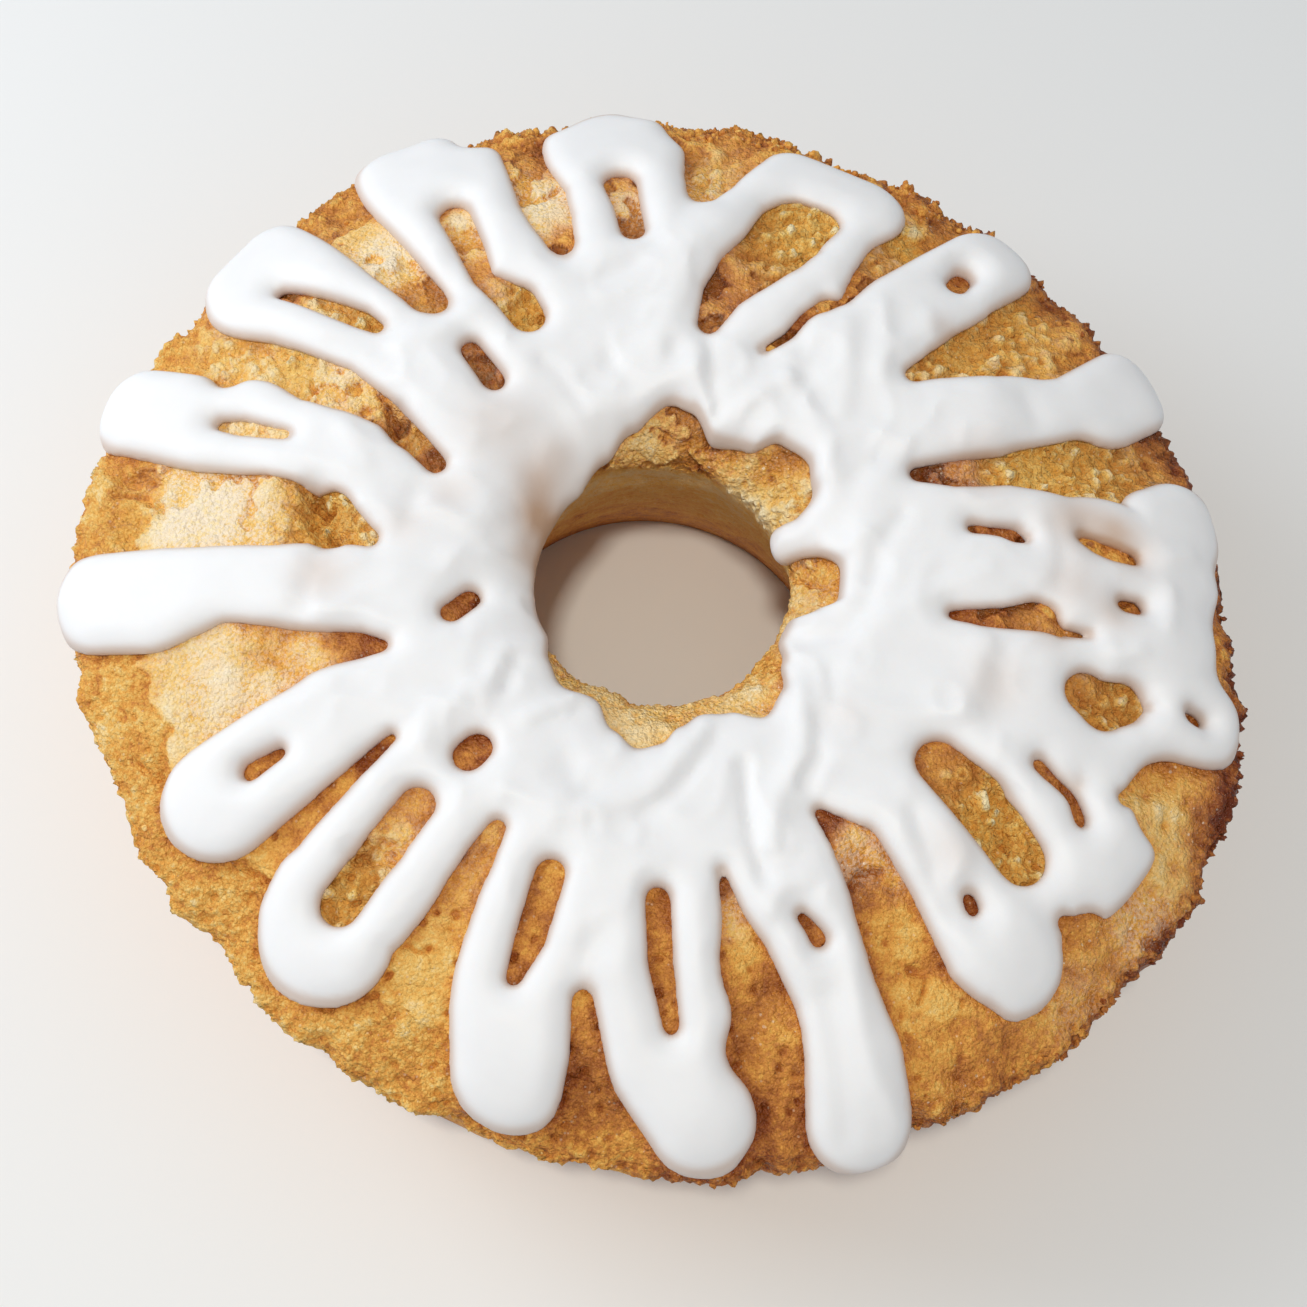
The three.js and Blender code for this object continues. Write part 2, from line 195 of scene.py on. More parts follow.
SWELL = {"span": 23, "height": 1.3}
CRAG = {"span": 8.5, "height": 0.75}
FRAY = {"span": 6.4, "outward": 1.5, "upward": 1.8, "reach": 4.5}
BURIED = {"relief": 0.3, "blend": 4}
BASE_CALM = {"start": 3, "length": 12}
HOLE_FOOT = LIP_RADIUS - LIP_HEIGHT
WALL_FOOT = RIM_RADIUS + RIM_HEIGHT
print("the cake is", 2 * RIM_RADIUS, "mm across and", CREST_HEIGHT, "mm high without icing")

# %% [markdown]
# ## Where the icing ran
# A drizzle is a chain of strokes. Each finger is a tapering stroke from the pool to its round
# tip, given as stations of radius, angle and half width. Strokes that meet are joined with a
# fillet, because liquid icing never keeps a sharp inner corner, and the bare gaps and windows
# are cut away again the same way.

# %% The outline of the icing
ICING_DEPTH = 3.4
TIP_EXTRA = {"depth": 1.1, "reach": 11}
FOLD = {"span": 12, "stretch": 2.4, "height": 0.45}
EDGE_ROLL = 5.6
POOL_RADIUS = 70
FILLET = {"join": 5, "inner": 3, "patch": 2, "notch": 3.5}

FINGERS = [
    [(58, 40, 11), (75, 37, 9.4), (90, 33.6, 7.4), (104.5, 33.7, 10.3)],
    [(58, 60, 11), (80, 57.5, 9.8), (99, 55.3, 9.8)],
    [(66, 74, 5), (78, 70.8, 5), (96, 72.3, 7.1), (97, 81.5, 7.3), (88, 86.6, 4.8), (74, 92, 8)],
    [(70, 103, 12), (90, 103, 12.3), (99.8, 100.7, 9.8), (101.2, 103.9, 10), (99.8, 107, 9.8),
     (90, 103, 12.3)],
    [(70, 125, 11), (88, 125.8, 12.3), (105.5, 121.8, 10.2), (106.5, 128.3, 10.2),
     (88, 125.8, 12.3)],
    [(64, 147, 9.5), (88, 147.4, 11.5), (105.5, 145.3, 10.8), (105, 150, 10.5),
     (88, 147.4, 11.5)],
    [(58, 167, 7.5), (80, 167.3, 8.8), (95, 168, 10.3), (110, 168, 10)],
    [(58, 194, 10), (72, 191, 8.3), (84, 189.8, 7.9), (96, 190.8, 10.6), (106.3, 189.8, 10.8)],
    [(56, 213, 9), (75, 214.9, 10.2), (92.6, 216.2, 11.3)],
    [(56, 233, 11), (75, 235, 13), (84, 235.3, 13), (89.5, 232.8, 10), (92.6, 238, 10)],
    [(56, 257, 12), (80, 258.2, 12.2), (96, 261.4, 11.3)],
    [(56, 276, 13), (78, 275.8, 11.8), (90, 277.3, 11.2), (101, 280.8, 9.4)],
    [(56, 296, 10), (72, 297.5, 9), (85, 298, 7.5), (96, 297.6, 8.8), (106.3, 296.2, 9.4)],
    [(56, 322, 12), (80, 318.8, 10), (94.5, 317.6, 10.8)],
    [(58, 333, 14), (80, 332, 12), (94.5, 329.6, 9.5), (95, 336, 9.8)],
    [(58, 350, 16), (85, 348, 11.5), (94, 346, 10), (103.8, 353.3, 9.8)],
    [(58, 2, 15), (80, 4, 13), (95.2, 1.5, 11.9)],
    [(58, 16, 11), (80, 14, 11.5), (98.2, 10, 11.3), (101.5, 16.5, 10.5)],
]
TONGUE = [(38, 30.5, 6), (29, 28.5, 3.6), (25, 31, 3.5)]
GAPS = [
    [(53.5, 31.9, 1.9), (60, 29.2, 3.1), (70, 27.1, 3.4), (82, 25, 5.9), (90, 25, 7.1),
     (97, 24.8, 6), (103, 25.2, 5.2), (110, 25.4, 6.5), (120, 25.5, 8)],
    [(65.5, 49.4, 2), (72, 48, 3.8), (82, 45.8, 6.5), (92, 44.4, 9.6), (120, 45, 10)],
    [(66.5, 69.2, 1.3), (70, 66.8, 1), (78, 66.8, 2.2), (90, 65.7, 4.3), (99, 64.3, 4.6),
     (120, 64, 8)],
    [(86.8, 92.4, 2.6), (92, 91.2, 4.1), (102, 91, 7.6), (110, 91.5, 12), (120, 91.5, 17)],
    [(75.3, 113.2, 1.5), (82, 114.2, 4), (94, 114.8, 4), (104, 114.6, 4.4), (112, 114.6, 6.5),
     (120, 114.3, 10)],
    [(75.5, 138.1, 2.2), (85, 137.7, 3.6), (98, 137.6, 4.7), (120, 136.6, 9.5)],
    [(49.7, 162, 2.4), (56, 159.5, 2.7), (63, 157.2, 3.1), (75, 157, 4.6), (84, 157.8, 4.8),
     (96, 158.6, 4.7), (120, 157.8, 11)],
    [(57, 182.3, 2.2), (66, 179.2, 6.1), (80, 179.8, 6.3), (100, 180.1, 8), (120, 180, 11)],
    [(55.7, 204.6, 1.6), (60, 203.4, 3), (66, 202.6, 3.8), (72, 202, 5.2), (84, 201.5, 8.8),
     (98, 203.5, 10.5), (120, 203.2, 18)],
    [(61.3, 221.7, 1.2), (68, 222.8, 1.6), (76, 224, 1.7), (90, 225.2, 1.9), (97, 226, 3.8),
     (120, 226.5, 9)],
    [(60, 246.5, 1.9), (66, 246.7, 2.9), (72, 247, 3.3), (80, 248, 3.6), (90, 248.4, 5.3),
     (100, 248.3, 7.5), (120, 248.3, 12)],
    [(83, 267, 2.1), (92, 268.6, 3.1), (101, 269.6, 5.3), (120, 270.3, 12)],
    [(60, 286.5, 0.9), (67, 287.1, 2), (75, 287.7, 4.4), (90, 288.7, 6), (106, 288.3, 4),
     (120, 287, 7)],
    [(55, 307.2, 1.3), (64, 309.6, 4.6), (76, 308.8, 5.5), (92, 307.2, 6), (104, 308.2, 9.8),
     (120, 308, 13)],
    [(97.6, 325.2, 1.6), (103, 326, 5), (120, 325, 12.5)],
    [(94.8, 341, 1.5), (98.5, 342.8, 3.8), (104.5, 343.4, 9.2), (112, 344, 10.5), (122, 342, 17)],
]
WINDOWS = [
    [(54, 89, 2.5), (62, 87.2, 4.3), (68, 84.4, 5.8), (75, 80.8, 6.8), (83, 79, 7.3)],
    [(76.2, 102.8, 2.8), (83, 103.2, 3), (88.6, 103.7, 3.8)],
    [(61, 124.7, 3.8), (65, 125, 4.1), (73, 127.9, 2.3), (81, 126.8, 3), (91, 126, 3.5)],
    [(52.6, 138.2, 2.6), (60.5, 137.4, 2.4)],
    [(77, 145.8, 1.8), (81, 146.2, 2.5), (86, 147.1, 2.4), (98.5, 149, 1.6)],
    [(37.8, 196.8, 2.1), (42, 200.6, 2.2)],
    [(65.5, 233.5, 3.7), (76, 234.6, 3.9), (87, 235.4, 4.2)],
    [(50.5, 233.6, 3.2), (52.5, 233.6, 3.3)],
    [(63.3, 257.9, 3), (75, 258.5, 3), (82.5, 258.2, 1.7)],
    [(64, 275.7, 2.5), (75, 276.4, 2.5), (86, 277.9, 1.7)],
    [(62.4, 330.5, 4.8), (72, 329.4, 5.9), (84.5, 327, 5.1)],
    [(81.8, 351.6, 4.4), (85.5, 350.8, 5.2), (89.5, 352.2, 4.3), (94, 352.6, 0.7)],
    [(54.5, -0.7, 1.3), (60, -0.6, 2.1), (65, 0, 2.5), (70, 1.1, 3.4), (71.5, 1, 3.1),
     (75, -0.9, 1.2), (80.5, -0.4, 0.8)],
]

# The windows that are too fine for the solid model: slits and pinholes 2 to 4 mm wide.
FINE_WINDOWS = [
    [(78.5, 167.3, 1.2), (88, 167.7, 2.1), (92.5, 167.9, 1.4)],
    [(80, 215, 1.4), (86, 215.4, 2)],
    [(70.6, 297, 1.1), (73, 297.8, 1.4), (75.5, 298.3, 1.8)],
    [(82.8, 318.3, 1.5), (84.5, 317.9, 1.6)],
    [(77.8, 339.1, 1.5), (79.8, 338.6, 1.4), (81.5, 338.3, 1.2), (85.5, 337.7, 1.2),
     (87, 337.1, 1.4), (89.5, 335.6, 1.5)],
    [(102.4, 353.6, 1.3), (104.6, 353.4, 1.4)],
    [(59.6, 17.5, 1.4), (62, 16.8, 1.2), (65, 16.2, 1.3), (67.5, 15.4, 1.8), (69.3, 14.5, 1)],
    [(81, 14.2, 1.2), (83.5, 13.1, 1.8), (86.5, 12.2, 2), (90.5, 11.4, 1.6)],
    [(87.6, 5, 1.6), (90.4, 4.9, 1.7)],
    [(89.5, 56, 2.3), (92.3, 56.2, 2.4)],
    [(51.5, 76, 1), (57, 72.5, 1.2), (62, 71.5, 1.2), (67, 69.5, 1.3)],
]

# Small departures from the strokes: blobs that swelled out, and notches that stayed bare.
SWELLINGS = [
    (104, 151.5, 8.3), (88, 164.5, 5.5), (94.4, 70.5, 6.2), (76, 89.5, 4), (66, 76, 3),
    (97, 31.5, 6), (84.5, 281.8, 3.4), (101.3, 283, 4.6), (95.4, 235.2, 8.4),
]
NOTCHES = [
    (96.5, 161.8, 2.2), (112, 118.5, 4.5), (112, 110, 4), (86.5, 75.3, 3), (91, 286.4, 3.4),
    (111.5, 10.8, 2.2), (107, 329.5, 2.5),
]

# The outline is that of the icing's upper edge. At its foot it is a little smaller.
FOOT_SHARE = 0.996
FOOT_ABOUT = (0, -162)
POOL_EDGE = [
    (0, 33), (12, 33.4), (21, 29.8), (42, 34.6), (50, 37.2), (60, 36.5), (67, 32.4), (80, 31.2),
    (90, 36), (96, 37), (110, 32.5), (122, 28.8), (140, 25.5), (170, 25), (215, 26),
    (226, 28.6), (236, 30.3), (250, 28.8), (260, 33.4), (268, 36.2), (275, 34.8), (281, 31.1),
    (290, 28.9), (300, 29.9), (310, 33.9), (320, 31.8), (329, 28.1), (339, 25), (350, 25),
    (355, 29), (360, 33),
]
print(len(FINGERS), "fingers,", len(GAPS), "gaps,", len(WINDOWS) + len(FINE_WINDOWS), "windows")


# %% Distances in plan
def polar(radius, angle):
    return radius * np.cos(np.radians(angle)), radius * np.sin(np.radians(angle))


def away_from(x, y, radius, angle):
    """Distance to a place that is given by its radius and angle."""
    place_x, place_y = polar(radius, angle)
    return np.hypot(x - place_x, y - place_y)


def stroke_distance(x, y, stations):
    """Distance to the edge of a tapering stroke of (x, y, half width), negative inside it."""
    nearest = np.full(x.shape, np.inf)
    for (x0, y0, wide0), (x1, y1, wide1) in zip(stations[:-1], stations[1:]):
        run_x, run_y = x1 - x0, y1 - y0
        share = limit(((x - x0) * run_x + (y - y0) * run_y) / (run_x**2 + run_y**2))
        gap = np.hypot(x - x0 - share * run_x, y - y0 - share * run_y)
        nearest = np.minimum(nearest, gap - mix(wide0, wide1, share))
    return nearest


def path_distance(x, y, path):
    return stroke_distance(x, y, [(*polar(radius, angle), wide) for radius, angle, wide in path])


def join(a, b, fillet):
    blend = np.maximum(fillet - np.abs(a - b), 0) / fillet
    return np.minimum(a, b) - blend * blend * fillet / 4


def cut_away(body, cutter, fillet):
    return -join(-body, cutter, fillet)


def pool_edge(angle):
    stops, radii = np.array(POOL_EDGE, float).T
    here = np.searchsorted(stops, angle, side="right") - 1
    share = (angle - stops[here]) / (stops[here + 1] - stops[here])
    return mix(radii[here], radii[here + 1], smooth(share))


def icing_edge(x, y):
    """Distance to the edge of the icing in plan, negative where there is icing."""
    x = FOOT_ABOUT[0] + (x - FOOT_ABOUT[0]) / FOOT_SHARE
    y = FOOT_ABOUT[1] + (y - FOOT_ABOUT[1]) / FOOT_SHARE
    radius = np.hypot(x, y)
    angle = np.degrees(np.arctan2(y, x)) % 360
    edge = radius - POOL_RADIUS
    for finger in FINGERS:
        edge = join(edge, path_distance(x, y, finger), FILLET["join"])
    edge = cut_away(edge, radius - pool_edge(angle), FILLET["inner"])
    edge = join(edge, path_distance(x, y, TONGUE), FILLET["inner"])
    for bare in GAPS:
        edge = cut_away(edge, path_distance(x, y, bare), FILLET["patch"])
    for *place, wide in SWELLINGS:
        edge = join(edge, away_from(x, y, *place) - wide, FILLET["join"])
    for bare in WINDOWS + FINE_WINDOWS:
        edge = cut_away(edge, path_distance(x, y, bare), FILLET["patch"])
    for *place, wide in NOTCHES:
        edge = cut_away(edge, away_from(x, y, *place) - wide, FILLET["notch"])
    return edge


# %% [markdown]
# ## The section of the cake
# One line runs from the foot of the hole, over the dome and down to the foot of the outer
# wall. `along` measures it: it equals the radius on the top, and runs on down both walls.
# Sweeping that line round gives the plain cake, and relief is added along its normal.

# %% The plain section
def dome_height(radius):
    outer = limit((radius - CREST_RADIUS) / (RIM_RADIUS - CREST_RADIUS))
    inner = limit((CREST_RADIUS - radius) / (CREST_RADIUS - LIP_RADIUS))
    fall = (CREST_HEIGHT - RIM_HEIGHT) * outer**OUTER_SLOPE
    return CREST_HEIGHT - fall - (CREST_HEIGHT - LIP_HEIGHT) * inner**INNER_SLOPE


def sharp_section(along):
    hole_down = LIP_RADIUS - along
    hole_radius = LIP_RADIUS + (HOLE_BASE_RADIUS - LIP_RADIUS) * hole_down / LIP_HEIGHT
    wall_down = along - RIM_RADIUS
    wall_height = RIM_HEIGHT - wall_down
    foot = limit(1 - wall_height / BASE_ROUND["height"])
    tuck = BASE_ROUND["inward"] * (1 - np.sqrt(1 - foot * foot))
    wall_radius = RIM_RADIUS - (RIM_RADIUS - BASE_RADIUS) * wall_down / RIM_HEIGHT - tuck
    in_hole, on_wall = along < LIP_RADIUS, along > RIM_RADIUS
    radius = np.where(in_hole, hole_radius, np.where(on_wall, wall_radius, along))
    height = np.where(in_hole, LIP_HEIGHT - hole_down,
                      np.where(on_wall, wall_height, dome_height(along)))
    return radius, height


def section(along):
    """The same line with the lip and the rim softened."""
    radius, height = sharp_section(along)
    before = sharp_section(along - CORNER_SOFTNESS)
    after = sharp_section(along + CORNER_SOFTNESS)
    curved = (along > LIP_RADIUS - 2 * CORNER_SOFTNESS) & (along < RIM_RADIUS + 2 * CORNER_SOFTNESS)
    return (np.where(curved, (before[0] + 2 * radius + after[0]) / 4, radius),
            np.where(curved, (before[1] + 2 * height + after[1]) / 4, height))


def rim_wave(angle):
    turn = np.radians(angle)
    return sum(cosine * np.cos(waves * turn) + sine * np.sin(waves * turn)
               for waves, cosine, sine in RIM_WAVES)


# %% [markdown]
# ## Reading the crust place by place
# An oven never browns a cake evenly. Each row below is a place on the top: radius, angle and
# reach in mm and degrees, then how browned it is (0 pale, 1 nearly burnt), how much of it is
# pale sugary crust, and how much is torn open to the yellow crumb. Places blend into one
# another, and a little noise bends their borders, so no round spot shows.

# %% Places on the crust
PLACES = [
    # radius, angle, reach, browned, sugary, torn
    (106, 26, 4, 0.74, 0, 0), (100, 24, 4, 0.5, 0, 0.3), (90, 22.5, 6, 0.4, 0, 0.7),
    (84, 25, 6, 0.3, 0, 0.8), (76, 25, 6, 0.2, 0, 1), (69, 27, 3, 0.4, 0, 0.6),
    (62, 28.5, 4, 0.75, 0.15, 0), (55, 31.5, 3, 0.8, 0.1, 0),
    (106, 45, 5, 0.64, 0, 0), (98, 42, 6, 0.42, 0, 0.2), (92, 46, 7, 0.34, 0, 0.6),
    (84, 47, 5, 0.38, 0.05, 0.6), (76, 47, 5, 0.3, 0, 0.8), (69, 49, 3, 0.45, 0, 0.5),
    (106, 65, 5, 0.58, 0, 0), (98, 62, 4, 0.46, 0, 0.2), (92, 65, 4, 0.25, 0, 0.9),
    (85, 66, 3, 0.55, 0.05, 0.3), (74, 66, 2.5, 0.65, 0, 0), (60, 71, 3, 0.7, 0, 0),
    (86, 75, 4, 0.2, 0, 1), (85, 80, 6, 0.3, 0, 0.9), (76, 78, 6, 0.2, 0, 1),
    (78, 83, 4, 0.45, 0, 0.5), (70, 81, 4, 0.6, 0, 0.3), (66, 86, 5, 0.66, 0.05, 0),
    (56, 89, 4, 0.68, 0.1, 0),
    (108, 92, 8, 0.58, 0, 0), (98, 91, 4, 0.42, 0.1, 0.3), (92, 92, 4, 0.3, 0.5, 0.4),
    (86, 93, 3, 0.3, 0.6, 0),
    (89, 103, 3, 0.5, 0.1, 0), (83, 102, 4, 0.4, 0.5, 0), (76, 103.5, 3, 0.6, 0.2, 0),
    (108, 114, 8, 0.6, 0, 0), (100, 114, 4, 0.5, 0, 0), (94, 115, 4, 0.35, 0.4, 0),
    (88, 115, 4, 0.25, 0.75, 0), (82, 114.5, 4, 0.35, 0.6, 0), (76, 113.5, 3, 0.62, 0, 0),
    (94, 126, 3, 0.55, 0, 0), (87, 125, 4, 0.25, 0.5, 0), (79, 127, 3.5, 0.4, 0.3, 0),
    (74, 127.5, 3, 0.6, 0, 0), (69, 127, 3, 0.6, 0.2, 0), (63, 125, 5, 0.3, 0.1, 1),
    (110, 136, 8, 0.52, 0, 0), (100, 136, 5, 0.3, 0.2, 0), (90, 137, 5, 0.15, 0.7, 0),
    (83, 136, 4, 0.12, 0.85, 0), (78, 137, 3.5, 0.55, 0.1, 0), (74, 138, 3, 0.3, 0.2, 0.5),
    (57, 138.5, 4, 0.78, 0.1, 0),
    (98, 149, 2, 0.7, 0, 0), (88, 147, 3, 0.2, 0.3, 0.6), (80, 146, 3, 0.35, 0.1, 0.9),
    (110, 158, 10, 0.4, 0, 0), (102, 158, 6, 0.15, 0.2, 0.7), (94, 159, 5, 0.2, 0.5, 0.3),
    (86, 157, 6, 0.1, 0.2, 0.8), (76, 157, 5, 0.2, 0.6, 0.1), (70, 158, 5, 0.32, 0.35, 0),
    (64, 158, 4, 0.45, 0.15, 0.3), (60, 159, 3, 0.85, 0, 0), (56, 161, 3.5, 0.3, 0.2, 0.7),
    (51, 163, 3, 0.72, 0, 0),
    (88, 167.5, 4, 0.15, 0.5, 0.3),
    (107, 174, 5, 0.55, 0.1, 0), (110, 181, 7, 0.36, 0, 0), (104, 182, 5, 0.22, 0, 0.8),
    (96, 179, 8, 0.16, 0.8, 0), (86, 179, 8, 0.18, 0.8, 0), (78, 178, 6, 0.3, 0.5, 0),
    (74, 176, 4, 0.5, 0.1, 0.3), (68, 176, 5, 0.35, 0, 1), (67, 180, 5, 0.35, 0, 1),
    (60, 182, 4, 0.3, 0.3, 0.7),
    (108, 203, 12, 0.27, 0, 0), (101, 201, 4, 0.46, 0, 0), (94, 202, 8, 0.22, 0.55, 0),
    (86, 203, 8, 0.24, 0.6, 0), (78, 201, 5, 0.5, 0.1, 0), (79, 206, 4, 0.28, 0.6, 0),
    (70, 203, 4, 0.38, 0.4, 0), (63, 203, 3, 0.6, 0, 0), (59, 204, 3, 0.72, 0, 0),
    (83, 215, 3, 0.6, 0, 0),
    (104, 226, 8, 0.24, 0, 0), (90, 225, 3, 0.45, 0, 0), (76, 224, 3, 0.55, 0, 0),
    (66, 222.5, 2.5, 0.8, 0, 0),
    (86, 235, 5, 0.38, 0, 0.8), (79, 234, 4, 0.42, 0, 0.6), (74, 236, 3.5, 0.3, 0.4, 0),
    (72, 233, 2.5, 0.5, 0, 0), (66, 234, 5, 0.55, 0.1, 0), (51.5, 233.6, 4, 0.72, 0, 0),
    (40, 199, 4, 0.72, 0, 0),
    (104, 248, 10, 0.27, 0, 0), (88, 247.5, 6, 0.4, 0, 0), (76, 246, 4, 0.45, 0.05, 0),
    (66, 246, 4, 0.5, 0.1, 0),
    (72, 258, 5, 0.6, 0, 0), (82, 258, 2.5, 0.66, 0, 0),
    (104, 269, 6, 0.6, 0, 0), (90, 268, 4, 0.66, 0, 0),
    (72, 276, 6, 0.56, 0, 0), (86, 278, 2.5, 0.62, 0, 0),
    (106, 288, 5, 0.68, 0, 0), (92, 288, 6, 0.57, 0, 0), (80, 287, 5, 0.64, 0, 0),
    (74, 287, 4, 0.55, 0, 0), (68, 287, 3, 0.4, 0.3, 0), (62, 286.5, 2, 0.75, 0, 0),
    (73, 298, 4, 0.68, 0, 0),
    (108, 306, 7, 0.6, 0, 0), (102, 303, 4, 0.55, 0, 0), (98, 307, 6, 0.46, 0, 0),
    (88, 307, 6, 0.55, 0, 0), (80, 307, 5, 0.55, 0, 0), (72, 307, 3, 0.68, 0, 0),
    (66, 308, 5, 0.5, 0.35, 0), (57, 307, 3, 0.8, 0, 0),
    (84, 318, 3, 0.75, 0, 0), (104, 324, 8, 0.5, 0, 0), (110, 322, 5, 0.5, 0.3, 0),
    (111, 330, 5, 0.45, 0.4, 0), (106, 342, 7, 0.42, 0.1, 0), (103, 346, 6, 0.42, 0, 0),
    (112, 345, 5, 0.9, 0, 0),
    (86, 327, 5, 0.42, 0, 0.9), (78, 328, 6, 0.3, 0, 1), (72, 330, 6, 0.35, 0, 1),
    (64, 330, 6, 0.6, 0, 0), (84, 337, 4, 0.7, 0, 0),
    (86, 351, 7, 0.45, 0, 0.7), (81, 352, 4, 0.6, 0, 0), (104.5, 354, 2, 0.6, 0, 0),
    (72, 0, 4, 0.55, 0, 0), (64, 1, 4, 0.7, 0, 0), (57, 0, 3, 0.78, 0, 0),
    (64, 16, 5, 0.78, 0, 0), (86, 12, 4, 0.5, 0, 0), (90, 5, 3, 0.6, 0, 0),
    (90, 56.4, 3, 0.7, 0, 0),
    (27, 45, 6, 0.1, 0.15, 0.4), (29, 25, 4, 0.22, 0.15, 0.1), (33, 56, 3, 0.44, 0.15, 0.1),
    (33, 80, 4, 0.42, 0.1, 0), (34, 92, 4, 0.46, 0.1, 0), (29, 110, 4, 0.38, 0.15, 0),
    (30, 8, 5, 0.3, 0.25, 0), (30, 345, 4, 0.26, 0.25, 0), (29, 275, 6, 0.3, 0.15, 0),
    (32, 302, 5, 0.28, 0.25, 0), (26, 230, 5, 0.28, 0.25, 0), (33, 262, 4, 0.26, 0.2, 0),
]

# Far from any place the crust is evenly browned, and that has a small weight everywhere.
EVEN_BAKE = 0.42
EVEN_WEIGHT = 0.04
print(len(PLACES), "places on the crust")

# Round the rim: angle, how browned, how coarse its crumbs are, how far in it reaches, and how
# far it stands out beyond the plain section.
RIM = [
    (0, 0.88, 0.35, 4.5, 1), (12, 0.9, 0.15, 4.5, 1), (22, 0.84, 0.15, 4, 1.3),
    (30, 0.84, 0.3, 4, 1.2), (40, 0.8, 0.35, 5, 0.6), (48, 0.74, 0.4, 5, 0.2),
    (56, 0.66, 0.6, 5, -0.8), (66, 0.6, 0.7, 6, -0.8), (80, 0.5, 0.7, 7, -0.8),
    (92, 0.48, 0.7, 8, -0.5), (105, 0.47, 0.6, 8, -0.2), (115, 0.44, 0.45, 9, -1),
    (135, 0.39, 0.3, 8, 0.5), (150, 0.32, 0.25, 8, 1.4), (165, 0.29, 0.25, 8, 1.2),
    (180, 0.26, 0.2, 8, 0.8), (200, 0.24, 0.1, 10, 1.4), (225, 0.21, 0.1, 10, 1.8),
    (238, 0.23, 0.1, 10, 1), (248, 0.26, 0.1, 10, 0.2), (262, 0.36, 0.1, 9, 0.3),
    (275, 0.47, 0.15, 7, 1), (288, 0.56, 0.2, 6, 1.3), (302, 0.57, 0.3, 5, -1.8),
    (315, 0.58, 0.35, 3.5, -0.6), (325, 0.66, 0.4, 3.2, 0), (335, 0.8, 0.4, 4.5, 0.4),
    (350, 0.86, 0.4, 5, 0.8), (360, 0.88, 0.35, 4.5, 1),
]


def rim_reading(angle, column):
    stops = np.array(RIM)
    return np.interp(angle % 360, stops[:, 0], stops[:, column])


def read_places(x, y):
    """Browned, sugary and torn shares at each point in plan."""
    bend_x = x + wavering(x, y, (1.6, 4.1, 21), (0.8, 1.7, 22))
    bend_y = y + wavering(x, y, (1.6, 4.1, 23), (0.8, 1.7, 24))
    total = np.full(x.shape, EVEN_WEIGHT)
    sums = [total * EVEN_BAKE, np.zeros(x.shape), np.zeros(x.shape)]
    for radius, angle, reach, *shares in PLACES:
        weight = bell(away_from(bend_x, bend_y, radius, angle), reach)
        total = total + weight
        sums = [held + weight * share for held, share in zip(sums, shares)]
    return [held / total for held in sums]


# %% [markdown]
# ## The torn and cracked spots
# Where the crust split in the oven or was pulled by the pan, it leaves a short ragged trench.

# %% Tears, cracks and fine relief
TEAR_SLOPE = 3
CRACK_SLOPE = 0.9
TEARS = [
    (3.4, [(69, 175, 2.6), (66, 180, 2.8), (64, 184.5, 2.2)]),
    (2.6, [(61, 156.5, 2), (58, 161, 2)]),
    (2, [(83, 325.5, 2.6), (76, 331.5, 2.4)]),
    (1.6, [(79, 232, 2), (75, 237, 2)]),
    (1.8, [(107, 176.5, 2), (101, 177, 1.6)]),
]
CRACKS = [
    (1.6, [(108, 178.2, 0.5), (104, 177.6, 0.8), (101, 178.4, 0.5)]),
    (1.2, [(104.5, 208, 0.4), (102.5, 211, 0.6)]),
    (1.3, [(97, 224.2, 0.5), (94.5, 226, 0.7), (93, 227.5, 0.4)]),
    (1.2, [(87, 244.4, 0.4), (86, 246, 0.6), (85, 247.6, 0.4)]),
    (1.5, [(80, 231.6, 0.5), (77.5, 234, 0.7), (75, 233.5, 0.6), (73, 235.5, 0.4)]),
    (1.4, [(79.2, 160, 0.4), (79.6, 162, 0.6)]), (1.6, [(80.5, 157.8, 0.4), (79, 159.4, 0.8)]),
    (2.4, [(69, 174.8, 0.7), (67.8, 176.4, 1.1), (65.8, 177.2, 0.7)]),
    (2.4, [(65, 181, 0.6), (63.3, 182.6, 1), (61.5, 182, 0.6)]),
    (1.8, [(70.5, 178.6, 0.5), (68.5, 180.6, 0.8)]),
    (2.2, [(63.5, 156, 0.6), (61.5, 157.5, 1), (59, 158.6, 0.7)]),
    (1.4, [(103, 178.6, 0.3), (99.5, 179.4, 0.4), (98, 181, 0.3)]),
    (1.3, [(84, 326, 0.6), (80, 328.5, 0.8), (76.5, 327, 0.5)]),
    (1.2, [(79, 72.5, 0.5), (76, 76, 0.7), (73, 78.5, 0.5)]),
    (1.1, [(86.5, 39.5, 0.4), (84, 43, 0.6), (85, 47, 0.4)]),
    (1.3, [(70, 305, 0.5), (68.5, 308, 0.6), (70.5, 311, 0.4)]),
    (1.2, [(93, 306, 0.4), (90, 308.5, 0.6), (87.5, 307, 0.4)]),
    (2.2, [(60.2, 121.8, 0.5), (60.2, 122.4, 0.5)]), (2.2, [(60.6, 124.4, 0.6), (60.6, 125, 0.5)]),
    (2.2, [(61, 126.8, 0.5), (61.2, 127.4, 0.5)]),
]
print(len(TEARS), "tears and", len(CRACKS), "cracks")

# On the near left the smooth skin ends in a low step, and open crumb runs on to the rim.
SKIN = {"end": 98, "angle": 222, "reach": 62, "step": 0.7, "blend": 1.2}

